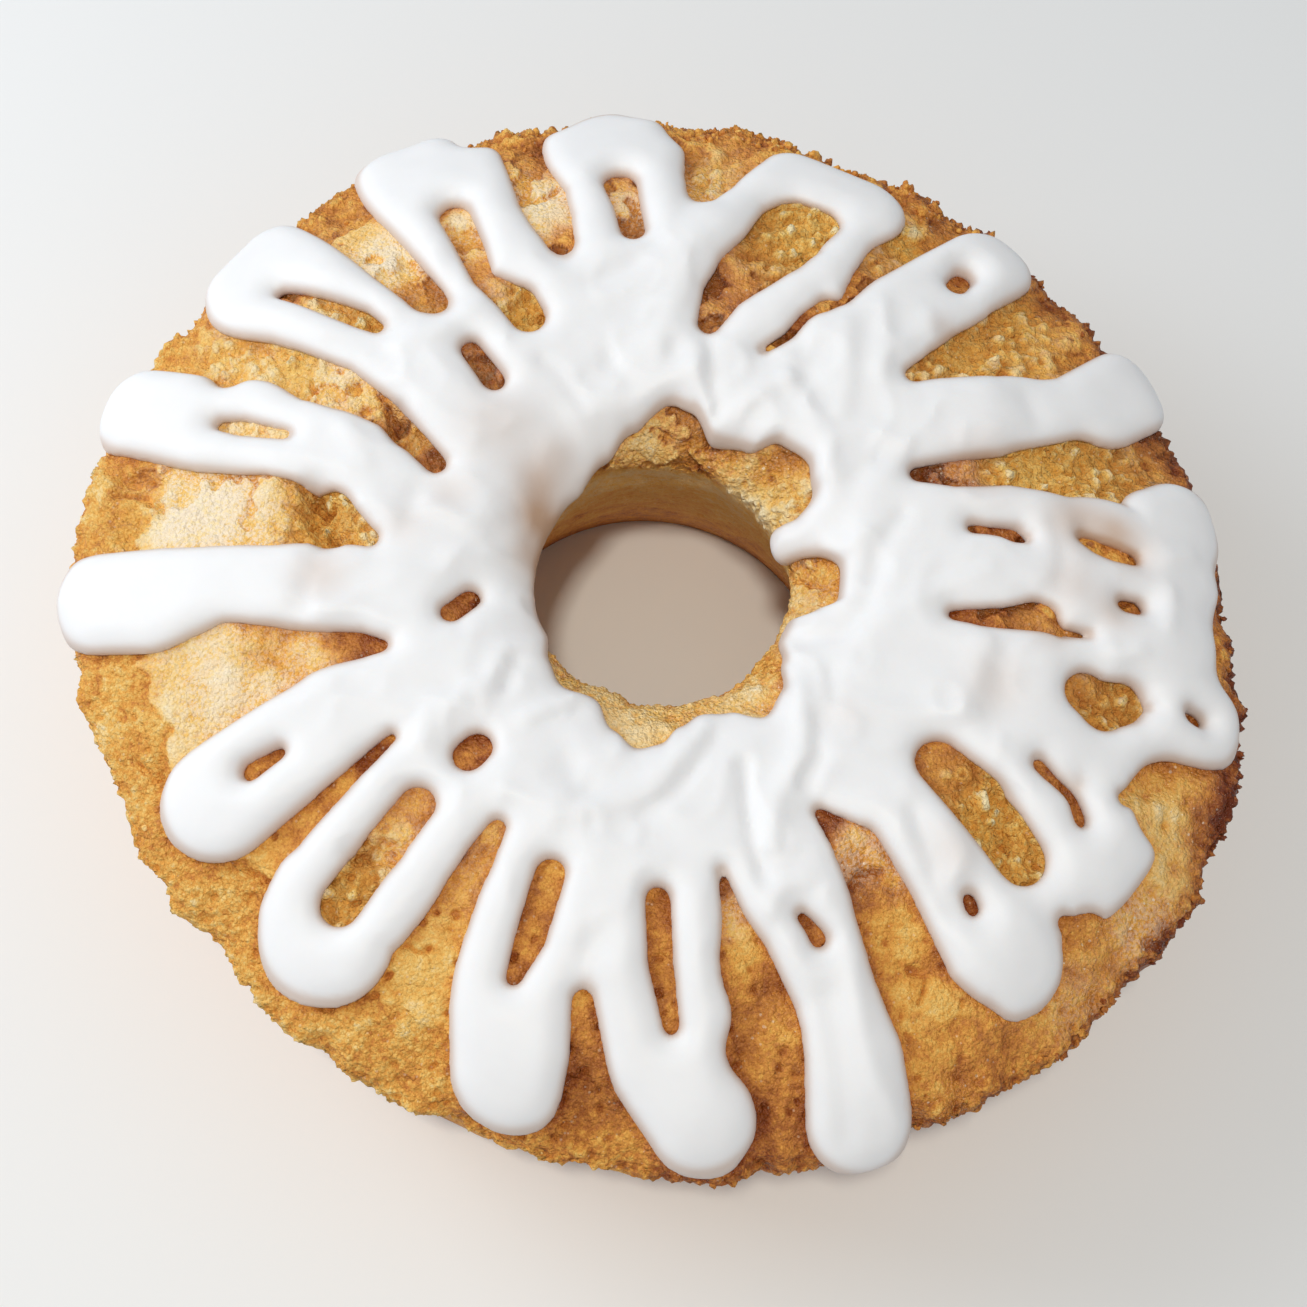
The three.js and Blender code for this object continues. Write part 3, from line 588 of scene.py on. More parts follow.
# A crisp skin on the far side has flaked, and left low ragged steps. It is rare nearer than
# "far_from" in y, and "spread" and "edge" say how wide the flakes are and how soft their edges.
FLAKE = {"step": 0.8, "torn": 0.15, "edge_browned": 1.2, "middle": 0.6, "dusted": 0.85,
         "far_from": -30, "blend": 50, "near_share": 0.2, "spread": 0.25, "edge": 0.16}
ISLANDS = [(1, 8, 47), (0.6, 2.4, 48)]

# The near side is smooth with open pores. The angle and its reach, then the radius it begins at.
SMOOTH_SIDE = {"angle": 258, "reach": 45, "start": 70, "blend": 14}

# Just under the rim the wall draws in, where the cake shrank from the pan. The rim itself stands
# out or in by its own amount, which dies away over this reach.
RIM_TUCK = {"depth": 2, "start": 2, "length": 12}
RIM_REACH = 6

# Where the walls begin, past the rim and past the lip, and how browned they are from end to end.
# Down the hole the wall is painted darker towards its foot, as painted shade deep in the hole.
PAN_SIDE = {"start": 9, "blend": 6, "browned_and_shaded": (0.5, 0.66)}
HOLE_SIDE = {"start": 1, "blend": 8, "browned_and_shaded": (0.66, 0.2), "length": 56}
LIP = {"inward": 2, "reach": 7}

# The crust is uneven over several spans at once: height and span in mm, and a seed. It is less
# so on the walls, and more so where it is glazed.
UNEVEN = [(0.5, 6.6, 43), (0.36, 3.1, 41), (0.16, 1.6, 42)]
UNEVEN_SHARE = {"side": 0.5, "glazed": 1.8}

# The fine relief runs on a little way under the icing.
UNDER_ICING = {"reach": 1.2, "blend": 2}

# Round lumps of crumb: a name, the span of one in mm, a seed, and how full they fill it.
LUMPS = [("granules", 1.3, 60, 0.7), ("crumbs", 2.3, 50, 0.68), ("clots", 3.6, 70, 0.68),
         ("pores", 3.3, 90, 0.42)]
RAGGED = {"reach": 0.5, "span": 1.9, "seeds": (44, 45, 46)}

# Where crumb is open, a lump's height in mm by its kind, and how far they lie sunk together.
TORN_LUMPS = {"clots": 3.0, "crumbs": 1.4, "sunk": 2.3}
RIM_LUMPS = {"clots": 1.9, "crumbs": 1.1, "sunk": 1.1}

# How granular the crust is: at least, by its part of the cake, and under sugar or on a wall.
GRANULAR = {"least": 0.2, "skin_gone": 0.8, "lip": 0.8, "rim": 0.7, "sugary": 0.35, "side": 0.3}
GRANULE_HEIGHT = 0.7
CRUMB_HEIGHT = 0.45
LUMP_MIDDLE = 0.4
TORN_GRANULES = 0.8
CORNER_LUMPS = {"height": 0.4, "reach": 3}

# Pores open where a lump of the last kind is higher than "least", and their depth in mm depends
# on the part of the cake.
PORES = {"least": 0.12, "blend": 0.5, "smooth_side": 0.8, "bare": 0.3, "side": 0.2, "torn": 1}

# A crack is painted browner and darker, as painted shade, as if it were deeper. Crust beside the
# icing is soaked a little, and is painted darker there: partly soaked crust, partly painted contact
# shade under the icing's edge.
CRACK_DARKENING = 0.05
CRACK_SHADE = 0.3
SOAKED_SHADE_REACH = 1.5
RELIEF_RANGE = 2.2

# Where butter and sugar caramelised to a shiny glaze: radius, angle, reach, share.
GLAZED = [
    (106, 321, 8, 0.9), (108, 332, 9, 1), (104, 343, 8, 1), (112, 350, 7, 0.5), (112, 0, 7, 0.5),
    (110, 305, 6, 0.6), (66, 308, 6, 0.6), (68, 290, 5, 0.5), (86, 291, 6, 0.3),
    (31, 5, 7, 0.8), (31, 60, 9, 0.8), (32, 85, 8, 0.6), (30, 315, 9, 0.8), (29, 275, 8, 0.6),
    (28, 235, 7, 0.6), (66, 86, 7, 0.35), (60, 28, 6, 0.5), (104, 62, 8, 0.4), (104, 92, 8, 0.3),
]


def trenches(x, y):
    """How deep each point lies in a broad tear, and how deep in a narrow crack."""
    ragged_x = x + wavering(x, y, (0.9, 2.3, 31), (0.4, 1, 33))
    ragged_y = y + wavering(x, y, (0.9, 2.3, 32), (0.4, 1, 34))
    torn_deep, cracked_deep = np.zeros(x.shape), np.zeros(x.shape)
    for depth, path in TEARS:
        torn_deep += depth * smooth(0.5 - path_distance(x, y, path) / TEAR_SLOPE)
    for depth, path in CRACKS:
        cracked_deep += depth * smooth(0.5 - path_distance(ragged_x, ragged_y, path) / CRACK_SLOPE)
    return torn_deep, cracked_deep


# %% [markdown]
# ## The whole crust in two functions
# The first gives each point of the crust its place and its outward direction, with the broad
# relief of the solid model. The second adds what an eye sees from a step away, and the finish:
# grains of 1 to 3 mm, coarse crumbs that broke from the pan's edge, and open pores on the smooth
# side. The icing only needs the first.

# %% The crust's surface
def crust_surface(along, angle, fine=True):
    radius, height = section(along)
    before, after = section(along - 1), section(along + 1)
    run, rise = after[0] - before[0], after[1] - before[1]
    radial, upward = -rise / np.hypot(run, rise), run / np.hypot(run, rise)
    turn = np.radians(angle)
    share = limit((along - LIP_RADIUS) / (RIM_RADIUS - LIP_RADIUS))
    down = limit((along - RIM_RADIUS) / RIM_HEIGHT)
    wave = share * rim_wave(angle)
    stretched = radius + wave * mix(1, FOOT_WAVES, down)
    plan_radius = np.maximum(along + wave, 1)
    shift_x, shift_y = HOLE_SHIFT[0] * (1 - share), HOLE_SHIFT[1] * (1 - share)
    x = plan_radius * np.cos(turn) + shift_x
    y = plan_radius * np.sin(turn) + shift_y
    edge = icing_edge(x, y)

    shown = mix(BURIED["relief"], 1, smooth(edge / BURIED["blend"] + 0.5))
    above_base = np.minimum(along - HOLE_FOOT, WALL_FOOT - along)
    lively = smooth((above_base - BASE_CALM["start"]) / BASE_CALM["length"])
    relief = SWELL["height"] * noise(x / SWELL["span"], y / SWELL["span"], 1)
    relief += CRAG["height"] * noise(x / CRAG["span"], y / CRAG["span"], 2)
    torn_deep, cracked_deep = trenches(x, y)
    relief -= torn_deep + cracked_deep
    relief *= shown * lively
    fray = shown * bell(along - RIM_RADIUS, FRAY["reach"])
    rim_x = RIM_RADIUS * np.cos(turn) / FRAY["span"]
    rim_y = RIM_RADIUS * np.sin(turn) / FRAY["span"]
    outward = stretched + radial * relief + fray * FRAY["outward"] * noise(rim_x, rim_y, 3)
    level = height + upward * relief + fray * FRAY["upward"] * noise(rim_x, rim_y, 4)
    spot = np.column_stack([outward * np.cos(turn) + shift_x,
                            outward * np.sin(turn) + shift_y, level])
    out = np.column_stack([radial * np.cos(turn), radial * np.sin(turn), upward])
    made = {"x": x, "y": y, "spot": spot, "out": out, "edge": edge}
    if fine:
        add_fine_relief(made, along, angle, shown, lively, cracked_deep)
    return made


def add_fine_relief(made, along, angle, shown, lively, cracked_deep):
    """Moves the points out to grains, crumbs and pores, says how each one is baked, and how much
    painted shade its hollows and cracks get.
    """
    x, y, spot, edge = made["x"], made["y"], made["spot"], made["edge"]
    down = limit((along - RIM_RADIUS) / RIM_HEIGHT)
    shown_at = np.flatnonzero(edge > -UNDER_ICING["reach"])
    bare = np.zeros(len(along))
    bare[shown_at] = smooth((edge[shown_at] + UNDER_ICING["reach"]) / UNDER_ICING["blend"])

    # Which part of the cake each point is on, as shares.
    pan_side = smooth((along - RIM_RADIUS - PAN_SIDE["start"]) / PAN_SIDE["blend"])
    hole_side = smooth((LIP_RADIUS - HOLE_SIDE["start"] - along) / HOLE_SIDE["blend"])
    side = np.maximum(pan_side, hole_side)
    rim = bell(np.maximum(RIM_RADIUS + 1 - along, 0), rim_reading(angle, 3)) * (1 - pan_side)
    lip = bell(along - LIP_RADIUS - LIP["inward"], LIP["reach"])
    smooth_side = bell(angle - SMOOTH_SIDE["angle"], SMOOTH_SIDE["reach"]) * (1 - pan_side)
    smooth_side = smooth_side * smooth((along - SMOOTH_SIDE["start"]) / SMOOTH_SIDE["blend"])
    glazed = limit(sum(share * bell(away_from(x, y, *place), reach)
                       for *place, reach, share in GLAZED))
    skin_end = SKIN["end"] + wavering(x, y, (2.2, 6.1, 25), (1.2, 2.4, 26))
    skin_gone = smooth((along - skin_end) / SKIN["blend"]) * (1 - pan_side)
    skin_gone *= bell(angle - SKIN["angle"], SKIN["reach"])

    browned_and_shaded, sugary, torn = read_places(x, y)
    browned_and_shaded = mix(browned_and_shaded, rim_reading(angle, 1), rim)
    browned_and_shaded = browned_and_shaded + CRACK_DARKENING * np.minimum(cracked_deep, 2)
    browned_and_shaded = mix(browned_and_shaded, mix(*PAN_SIDE["browned_and_shaded"], down), pan_side)
    # Painted shade: the hole's wall darkens towards its foot.
    up_hole = limit((along - HOLE_FOOT) / HOLE_SIDE["length"])
    browned_and_shaded = mix(browned_and_shaded, mix(*HOLE_SIDE["browned_and_shaded"], up_hole), hole_side)
    sugary = sugary * (1 - rim) * (1 - side)
    torn = torn * (1 - rim) * (1 - side)

    # The lumps and the flakes, worked out only where they show.
    here = spot[shown_at]
    pushed = [grain(here, RAGGED["span"], seed) for seed in RAGGED["seeds"]]
    ragged = here + RAGGED["reach"] * np.column_stack(pushed)
    made_of = {}
    for name, span, seed, fullness in LUMPS:
        made_of[name] = np.zeros(len(along))
        made_of[name][shown_at] = lumps(ragged, span, seed, fullness)
    granules, crumbs, clots, pores = made_of.values()
    uneven, flake = np.zeros(len(along)), np.zeros(len(along))
    uneven[shown_at] = swells(here, UNEVEN)
    flake[shown_at] = smooth((swells(ragged, ISLANDS) + FLAKE["spread"]) / FLAKE["edge"])
    flaky = mix(FLAKE["near_share"], 1, smooth((y - FLAKE["far_from"]) / FLAKE["blend"]))
    flaky *= (1 - side) * (1 - 0.7 * rim) * (1 - torn)

    bumps = uneven * mix(1, UNEVEN_SHARE["side"], side) * mix(1, UNEVEN_SHARE["glazed"], glazed)
    bumps += FLAKE["step"] * flaky * (flake - FLAKE["middle"])
    browned_and_shaded = browned_and_shaded + FLAKE["edge_browned"] * flaky * flake * (1 - flake)
    sugary = sugary * mix(1, mix(FLAKE["dusted"], 1, flake), flaky)
    torn = np.maximum(torn, FLAKE["torn"] * flaky * (1 - flake))
    bumps -= SKIN["step"] * skin_gone
    granular = np.maximum(GRANULAR["skin_gone"] * skin_gone, GRANULAR["lip"] * lip)
    granular = mix(GRANULAR["least"], 1, np.maximum(granular, GRANULAR["rim"] * rim))
    granular *= mix(1, GRANULAR["sugary"], sugary) * mix(1, GRANULAR["side"], side)
    grains = GRANULE_HEIGHT * (granules - LUMP_MIDDLE) + CRUMB_HEIGHT * (crumbs - LUMP_MIDDLE)
    bumps += granular * grains
    for share, held in ((torn, TORN_LUMPS), (rim * rim_reading(angle, 2), RIM_LUMPS)):
        bumps += share * (held["clots"] * clots + held["crumbs"] * crumbs - held["sunk"])
    bumps += torn * TORN_GRANULES * (granules - LUMP_MIDDLE)
    corner = bell(along - RIM_RADIUS, CORNER_LUMPS["reach"])
    bumps += corner * CORNER_LUMPS["height"] * (crumbs + granules - 2 * LUMP_MIDDLE)
    pits = smooth((pores - PORES["least"]) / PORES["blend"])
    for part, share in (("smooth_side", smooth_side), ("bare", (1 - sugary) * (1 - side)),
                        ("side", side), ("torn", torn)):
        bumps -= pits * PORES[part] * share
    sugary = sugary * (1 - skin_gone)
    bumps *= bare * lively

    inward = RIM_TUCK["depth"] * smooth(
        (along - RIM_RADIUS - RIM_TUCK["start"]) / RIM_TUCK["length"])
    inward -= bell(along - RIM_RADIUS, RIM_REACH) * rim_reading(angle, 4) * bare
    turn = np.radians(angle)
    middle_way = np.column_stack([-np.cos(turn), -np.sin(turn), np.zeros(len(turn))])
    made["spot"] = spot + made["out"] * bumps[:, None] + middle_way * inward[:, None]
    made["paint"] = {
        "browned_and_shaded": limit(browned_and_shaded),
        "sugary": sugary,
        "torn": torn,
        # Beside the icing the crust is soaked, and darker there as painted contact shade.
        "soaked_and_shaded": bell(np.maximum(edge, 0), SOAKED_SHADE_REACH) * (1 - side),
        # relief_and_shade: the relief's height, set lower in cracks, which the colour turns into
        # painted shade in hollows and painted light on peaks.
        "relief_and_shade": limit(0.5 + (bumps - CRACK_SHADE * cracked_deep * shown) / RELIEF_RANGE),
        "granular": limit(granular + torn),
        "glazed": glazed,
    }


# %% [markdown]
# ## From numbers to a mesh
# A ring of points may have twice as many as its neighbour, where the cake gets wider, and the
# band of triangles between them is worked out by counting round both rings at once.

# %% Mesh makers
def band(low, low_count, high, high_count):
    steps = np.arange(max(low_count, high_count))
    low_step, high_step = len(steps) // low_count, len(steps) // high_count
    low_here = low + (steps + low_step - 1) // low_step % low_count
    low_next = low + (steps + low_step) // low_step % low_count
    high_here = high + (steps + high_step - 1) // high_step % high_count
    high_next = high + (steps + high_step) // high_step % high_count
    first = np.column_stack([low_here, high_here, low_next])[low_here != low_next]
    second = np.column_stack([low_next, high_here, high_next])[high_here != high_next]
    return np.vstack([first, second])


def rings_of(alongs, counts):
    """The along and angle of every point on the rings, where each ring starts, the triangles."""
    starts = np.concatenate([[0], np.cumsum(counts)])
    along = np.repeat(alongs, counts)
    angle = np.concatenate([360 * np.arange(count) / count for count in counts])
    bands = [band(starts[i], counts[i], starts[i + 1], counts[i + 1])
             for i in range(len(counts) - 1)]
    return along, angle, starts, np.vstack(bands)


def make_object(name, spots, triangles, paint=None):
    mesh = bpy.data.meshes.new(name)
    mesh.vertices.add(len(spots))
    mesh.vertices.foreach_set("co", (spots * METRES).ravel())
    mesh.loops.add(triangles.size)
    mesh.loops.foreach_set("vertex_index", triangles.ravel().astype(np.int32))
    mesh.polygons.add(len(triangles))
    mesh.polygons.foreach_set("loop_start", np.arange(0, triangles.size, 3, dtype=np.int32))
    mesh.update(calc_edges=True)
    for kind, values in (paint or {}).items():
        layer = mesh.attributes.new(kind, "FLOAT", "POINT")
        layer.data.foreach_set("value", values.astype(np.float32))
    piece = bpy.data.objects.new(name, mesh)
    bpy.context.scene.collection.objects.link(piece)
    return piece


def settle(piece):
    """Applies the piece's modifiers, and shades it smooth."""
    evaluated = piece.evaluated_get(bpy.context.evaluated_depsgraph_get())
    mesh = bpy.data.meshes.new_from_object(evaluated)
    piece.modifiers.clear()
    piece.data = mesh
    mesh.polygons.foreach_set("use_smooth", np.ones(len(mesh.polygons), bool))
    print(piece.name, "has", len(mesh.vertices), "points and", len(mesh.polygons), "faces")
    return piece


# %% [markdown]
# ## The baked cake
# The crust could be sculpted, or displaced in the shader. Here it is a real fine mesh, so that
# the crumbs throw their own shadows. It starts with a step of half a millimetre, and a Decimate
# modifier then takes points out wherever the crust is plain or lies under the icing.

# %% Make the cake
TOP_STEP = 0.5
WALL_STEP = 1.3
FACES_KEPT = 190_000

# Zones of rings, from the foot of the hole outward: from, to, step, and points on each ring.
ZONES = [
    (HOLE_FOOT, 14, WALL_STEP, 640), (14, CREST_RADIUS, TOP_STEP, 640),
    (CREST_RADIUS, 118, TOP_STEP, 1280), (118, WALL_FOOT, WALL_STEP, 640),
]
zone_alongs = [np.arange(start, end, step) for start, end, step, count in ZONES]
zone_alongs[-1] = np.append(zone_alongs[-1], WALL_FOOT)
counts = np.repeat([zone[3] for zone in ZONES], [len(alongs) for alongs in zone_alongs])
along, angle, starts, triangles = rings_of(np.concatenate(zone_alongs), counts)
base = band(starts[-2], counts[-1], starts[0], counts[0])
crust = crust_surface(along, angle)
cake = make_object("baked_cake", crust["spot"], np.vstack([triangles, base]), crust["paint"])
thinning = cake.modifiers.new("thin out", "DECIMATE")
thinning.ratio = FACES_KEPT / (len(triangles) + len(base))
settle(cake)

# %% [markdown]
# ## Folds in the icing
# Thick icing keeps the marks of the spoon: ridges where one pour lapped over another, and
# hollows beside them. Each row is a share of the rise, a half width, and a path in plan in mm.

# %% Folds and swirls
FOLD_RISE = 0.95
RIPPLE = {"height": 0.5, "span": 6.5, "end": 78, "blend": 12}
FOLD_SPREAD = 1.15
LEAST_DEPTH = 1.6
FOLDS = [
    (-0.8, 1.8, [(-23, 58), (-17, 62), (-12, 69)]),
    (0.7, 2.4, [(-5, 70), (-7, 58), (-8, 47), (-13, 42.5)]),
    (-0.8, 2.0, [(-17, 43), (-17, 42)]),
    (-0.8, 1.8, [(-5, 46), (-5, 45)]),
    (0.8, 1.7, [(0, 42), (3, 34), (6, 30.5)]),
    (-0.7, 1.4, [(1.5, 49), (3, 41), (5.5, 35)]),
    (0.8, 1.8, [(6, 33), (11, 38), (18, 43)]),
    (0.8, 1.8, [(18, 43), (23, 37), (27, 30), (29, 24)]),
    (0.7, 2.0, [(28, 56), (29.5, 46), (29, 37)]),
    (-0.7, 2.4, [(21, 50), (22, 43)]),
    (0.6, 1.8, [(35, 62), (36, 54), (35.5, 47)]),
    (-0.5, 1.6, [(-52, 60), (-50, 53)]),
    (0.6, 1.8, [(-57, 38), (-52, 43), (-47, 47)]),
    (-0.6, 1.8, [(-70, 37), (-62, 37), (-58, 44)]),
    (-0.6, 1.5, [(-30, 39), (-26, 37), (-22, 32)]),
    (-0.5, 1.8, [(-21, 38), (-14, 41)]),
    (0.8, 2.4, [(-22, 31), (-12, 35), (-5, 40), (0, 44)]),
    (-0.7, 2.0, [(-44, 9), (-49, 8), (-51, -2)]),
    (0.6, 1.8, [(-46, 5), (-40, 3), (-34, 7)]),
    (0.5, 1.6, [(-42, -5), (-36, -3), (-31, 1)]),
    (-0.9, 2.6, [(-64, -7), (-66, -18)]),
    (0.6, 1.6, [(-63, -19.5), (-56, -18), (-50, -20)]),
    (0.8, 1.9, [(-40, -42), (-39, -36), (-33, -32.5), (-29, -28), (-28, -22), (-22, -19.5)]),
    (-0.8, 1.4, [(-27, -30), (-26.5, -24)]),
    (0.8, 1.5, [(-22, -35), (-17, -32), (-12, -28.5)]),
    (-0.6, 1.5, [(-23, -38.5), (-18, -35.5), (-14, -32)]),
    (-0.7, 2.4, [(-15, -38), (-12, -43), (-9, -47)]),
    (1.1, 2.2, [(-14, -52), (-5, -49), (2, -45), (7, -38), (11, -32)]),
    (-0.9, 1.4, [(2, -50), (6.5, -45), (9.5, -40), (13, -33)]),
    (0.5, 1.4, [(-23, -49), (-18, -50), (-13, -49)]),
    (1.2, 1.9, [(27.5, -22), (29, -30), (28, -36), (25, -43), (25, -51)]),
    (-1.0, 1.4, [(19, -38), (20, -45), (22, -52), (24.5, -58)]),
    (-0.7, 1.5, [(31, -27), (32, -34), (29.5, -40)]),
    (0.6, 1.4, [(25.5, -63), (28, -58.5), (32, -57)]),
    (0.7, 1.8, [(42, -70), (44, -80), (48, -89), (53, -94)]),
    (-0.6, 2.2, [(38, -77), (41, -88), (44, -99)]),
    (-1.0, 2.0, [(50, -42), (52.5, -47), (55, -54), (58, -59)]),
    (0.7, 2.0, [(56, -42), (59.5, -47), (58, -53)]),
    (0.7, 2.2, [(60, -7), (59.5, -14), (57, -20)]),
    (-0.8, 3.6, [(63.5, -11), (64, -20)]),
    (-0.9, 1.6, [(43, 17), (40, 11), (39, 4), (38, -3), (34, -9), (28, -11)]),
    (0.5, 1.8, [(36, 12), (35, 4), (35, -2)]),
    (-0.8, 2.2, [(36, 28), (33, 22), (32, 14)]),
    (0.6, 1.6, [(30, 32.5), (35, 34.5), (42, 32)]),
    (0.5, 1.7, [(39, -8), (46, -1), (55, 5), (60, 8)]),
    (0.5, 1.6, [(40, -23), (50, -22.5), (59, -21)]),
    (-0.6, 1.5, [(33, -17), (33.5, -27)]),
    (-0.7, 1.6, [(72, 20), (74, 13), (73, 7)]),
    (0.7, 1.5, [(94, 4), (94.5, 11)]),
    (0.7, 1.5, [(82, -1.5), (85, -5), (89, -3)]),
    (0.6, 1.6, [(84, 14), (91, 16.5), (99, 20)]),
    (-0.6, 2.6, [(-7, -76), (-2, -73)]),
    (0.6, 3.6, [(57, 48), (58, 40), (58, 34)]),
    (-0.6, 2.2, [(65, 47), (67, 42)]),
    (0.6, 1.8, [(-75, 26), (-66, 20), (-60, 12)]),
    (0.5, 1.6, [(44, 62), (46, 54)]),
]
print(len(FOLDS), "folds and swirls")

# Where the icing lies thin and takes colour from the crust, with painted shade in its hollows, as a
# brownish tint: x, y, reach, share.
THIN_SHADED_PLACES = [
    (-26, 8, 4.5, 1), (-27, 15, 4.5, 0.6), (-26, 0, 4, 0.6), (-24, 21, 4, 0.3), (-36, 24, 8, 0.25),
    (-43, 8, 4, 0.25),
    (-50, 0, 4, 0.2), (-64, -12, 5, 0.35), (58, 30, 7, 0.35), (77, 22, 6, 0.6),
    (88, 18, 5, 0.45), (84.5, 22, 3.5, 0.5), (63, -15, 6, 0.25), (76, 8, 5, 0.3),
    (85, 4, 4, 0.4), (73, -2, 4, 0.4),
    (58, -48, 5, 0.2), (48, 60, 3, 0.35), (36, -25, 4, 0.12),
]
THIN_SHADED_EDGE = {"share": 0.6, "reach": 0.9}


def rounded(share):
    """A quarter of a circle, from 0 at share 0 up to 1 at share 1."""
    return np.sqrt(1 - (1 - share) ** 2)


def icing_depth(x, y, edge):
    """How thick the icing lies: a round edge, a flat middle, fat tips, folds."""
    radius = np.hypot(x, y)
    around = np.arctan2(y, x) * CREST_RADIUS
    folds = noise(radius / FOLD["span"], around / FOLD["span"] / FOLD["stretch"], 5)
    depth = ICING_DEPTH + FOLD["height"] * folds
    bent_x, bent_y = x + wavering(x, y, (3, 13, 7)), y + wavering(x, y, (3, 13, 8))
    ripple = (1 - np.abs(wavering(bent_x, bent_y, (1, RIPPLE["span"], 9)))) ** 3
    in_pool = smooth((RIPPLE["end"] - radius) / RIPPLE["blend"])
    depth += RIPPLE["height"] * (ripple - 0.25) * in_pool
    for finger in FINGERS:
        tip_radius, tip_angle, wide = finger[-1]
        away = away_from(x, y, tip_radius, tip_angle)
        depth += TIP_EXTRA["depth"] * bell(away, TIP_EXTRA["reach"])
    for height, wide, path in FOLDS:
        away = stroke_distance(x, y, [(*stop, 0) for stop in path])
        depth += height * FOLD_RISE * bell(away, wide * FOLD_SPREAD)
    roll = limit(-edge / EDGE_ROLL)
    return np.maximum(depth, LEAST_DEPTH) * rounded(roll)


# %% [markdown]
# ## The icing
# The icing covers each triangle of the crust, or the part of it, that lies inside its outline.
# Its underside sinks a little into the crust, so that no gap shows. That closed skin is then
# voxel remeshed and smoothed, which gives the rounded, slightly overhanging edge that a thick
# liquid sets with. It is thinned out like the crust, where it is flat.

# %% Make the icing
EDGE_LIFT = 0.7
SINK = 1.1
SINK_ROLL = 1.6
VOXEL = 0.7
OUTSET = 0.45
ICED = {"start": 17, "end": 122, "step": 0.9, "points": 960}

ring_alongs = np.arange(ICED["start"], ICED["end"], ICED["step"])
ring_counts = np.full(len(ring_alongs), ICED["points"])
along, angle, starts, triangles = rings_of(ring_alongs, ring_counts)
under = crust_surface(along, angle, fine=False)
edge = under["edge"] - OUTSET
thick = icing_depth(under["x"], under["y"], edge)
sunk = SINK * rounded(limit(-edge / SINK_ROLL))


def lifted(height):
    return under["spot"] + under["out"] * height[:, None]


def trim(triangles, edge):
    """Sorts triangles by the line where edge is 0: whole ones, then those that it crosses,
    with one corner left (tips) or two (cuts). A crossed one starts with its odd corner."""
    iced = edge < 0
    count = iced[triangles].sum(axis=1)
    whole = triangles[count == 3]
    odd_one = np.where(count[:, None] == 1, iced[triangles], ~iced[triangles])
    turn = np.argmax(odd_one, axis=1)
    turned = np.take_along_axis(triangles, (turn[:, None] + np.arange(3)) % 3, axis=1)
    return whole, turned[count == 1], turned[count == 2]


whole, tips, cuts = trim(triangles, edge)
crossed = np.sort(np.vstack([tips[:, [0, 1]], tips[:, [0, 2]], cuts[:, [0, 1]], cuts[:, [0, 2]]]))
cut_edges, number = np.unique(crossed, axis=0, return_inverse=True)
number = number.ravel()
tip_ab, tip_ac, cut_ab, cut_ac = np.split(
    number, np.cumsum([len(tips), len(tips), len(cuts)]))
first, second = cut_edges.T
share = (edge[first] / (edge[first] - edge[second]))[:, None]
rim_line = lifted(np.full(len(edge), EDGE_LIFT))
rim_line = mix(rim_line[first], rim_line[second], share)
many = len(edge)


def layer(offset):
    """The triangles of the top (offset 0) or of the underside, over shared rim points."""
    line = 2 * many
    return np.vstack([
        whole + offset,
        np.column_stack([tips[:, 0] + offset, tip_ab + line, tip_ac + line]),
        np.column_stack([cut_ab + line, cuts[:, 1] + offset, cuts[:, 2] + offset]),
        np.column_stack([cut_ab + line, cuts[:, 2] + offset, cut_ac + line]),
    ])


spots = np.vstack([lifted(np.maximum(thick, EDGE_LIFT)), lifted(-sunk), rim_line])
faces = np.vstack([layer(0), layer(many)[:, ::-1]])
used, faces = np.unique(faces, return_inverse=True)
icing = make_object("sugar_icing", spots[used], faces.reshape(-1, 3))
remesh = icing.modifiers.new("one skin", "REMESH")
remesh.mode = "VOXEL"
remesh.voxel_size = VOXEL * METRES
flow = icing.modifiers.new("flow", "SMOOTH")
flow.factor = 0.5
flow.iterations = 6
settle(icing)

# The remeshed skin is in quads, and each of them counts as two triangles.
thinning = icing.modifiers.new("thin out", "DECIMATE")
thinning.ratio = FACES_KEPT / (2 * len(icing.data.polygons))
settle(icing)

# The edge, and the hollows where the icing lies thin, let the brown crust shine through, and the
# same tint paints shade into them.
skin_spots = np.zeros(len(icing.data.vertices) * 3)
icing.data.vertices.foreach_get("co", skin_spots)
skin_x, skin_y = (skin_spots.reshape(-1, 3)[:, :2] / METRES).T
skin_edge = icing_edge(skin_x, skin_y)
see_through_and_shade = THIN_SHADED_EDGE["share"] * bell(np.minimum(skin_edge - 0.2, 0), THIN_SHADED_EDGE["reach"])
for x, y, reach, share in THIN_SHADED_PLACES:
    see_through_and_shade += share * bell(np.hypot(skin_x - x, skin_y - y), reach)
thin_shade_layer = icing.data.attributes.new("thin", "FLOAT", "POINT")
thin_shade_layer.data.foreach_set("value", limit(see_through_and_shade).astype(np.float32))
print("the icing lies", round(float(thick[edge < -EDGE_ROLL].mean()), 1), "mm thick on average")

# %% [markdown]
# ## Loose crumbs
# Handling knocks crumbs off a crust, and they stay along its rim. Each one is a small lump with
# its own squash and dents, half sunk where it lies, and all are one mesh.

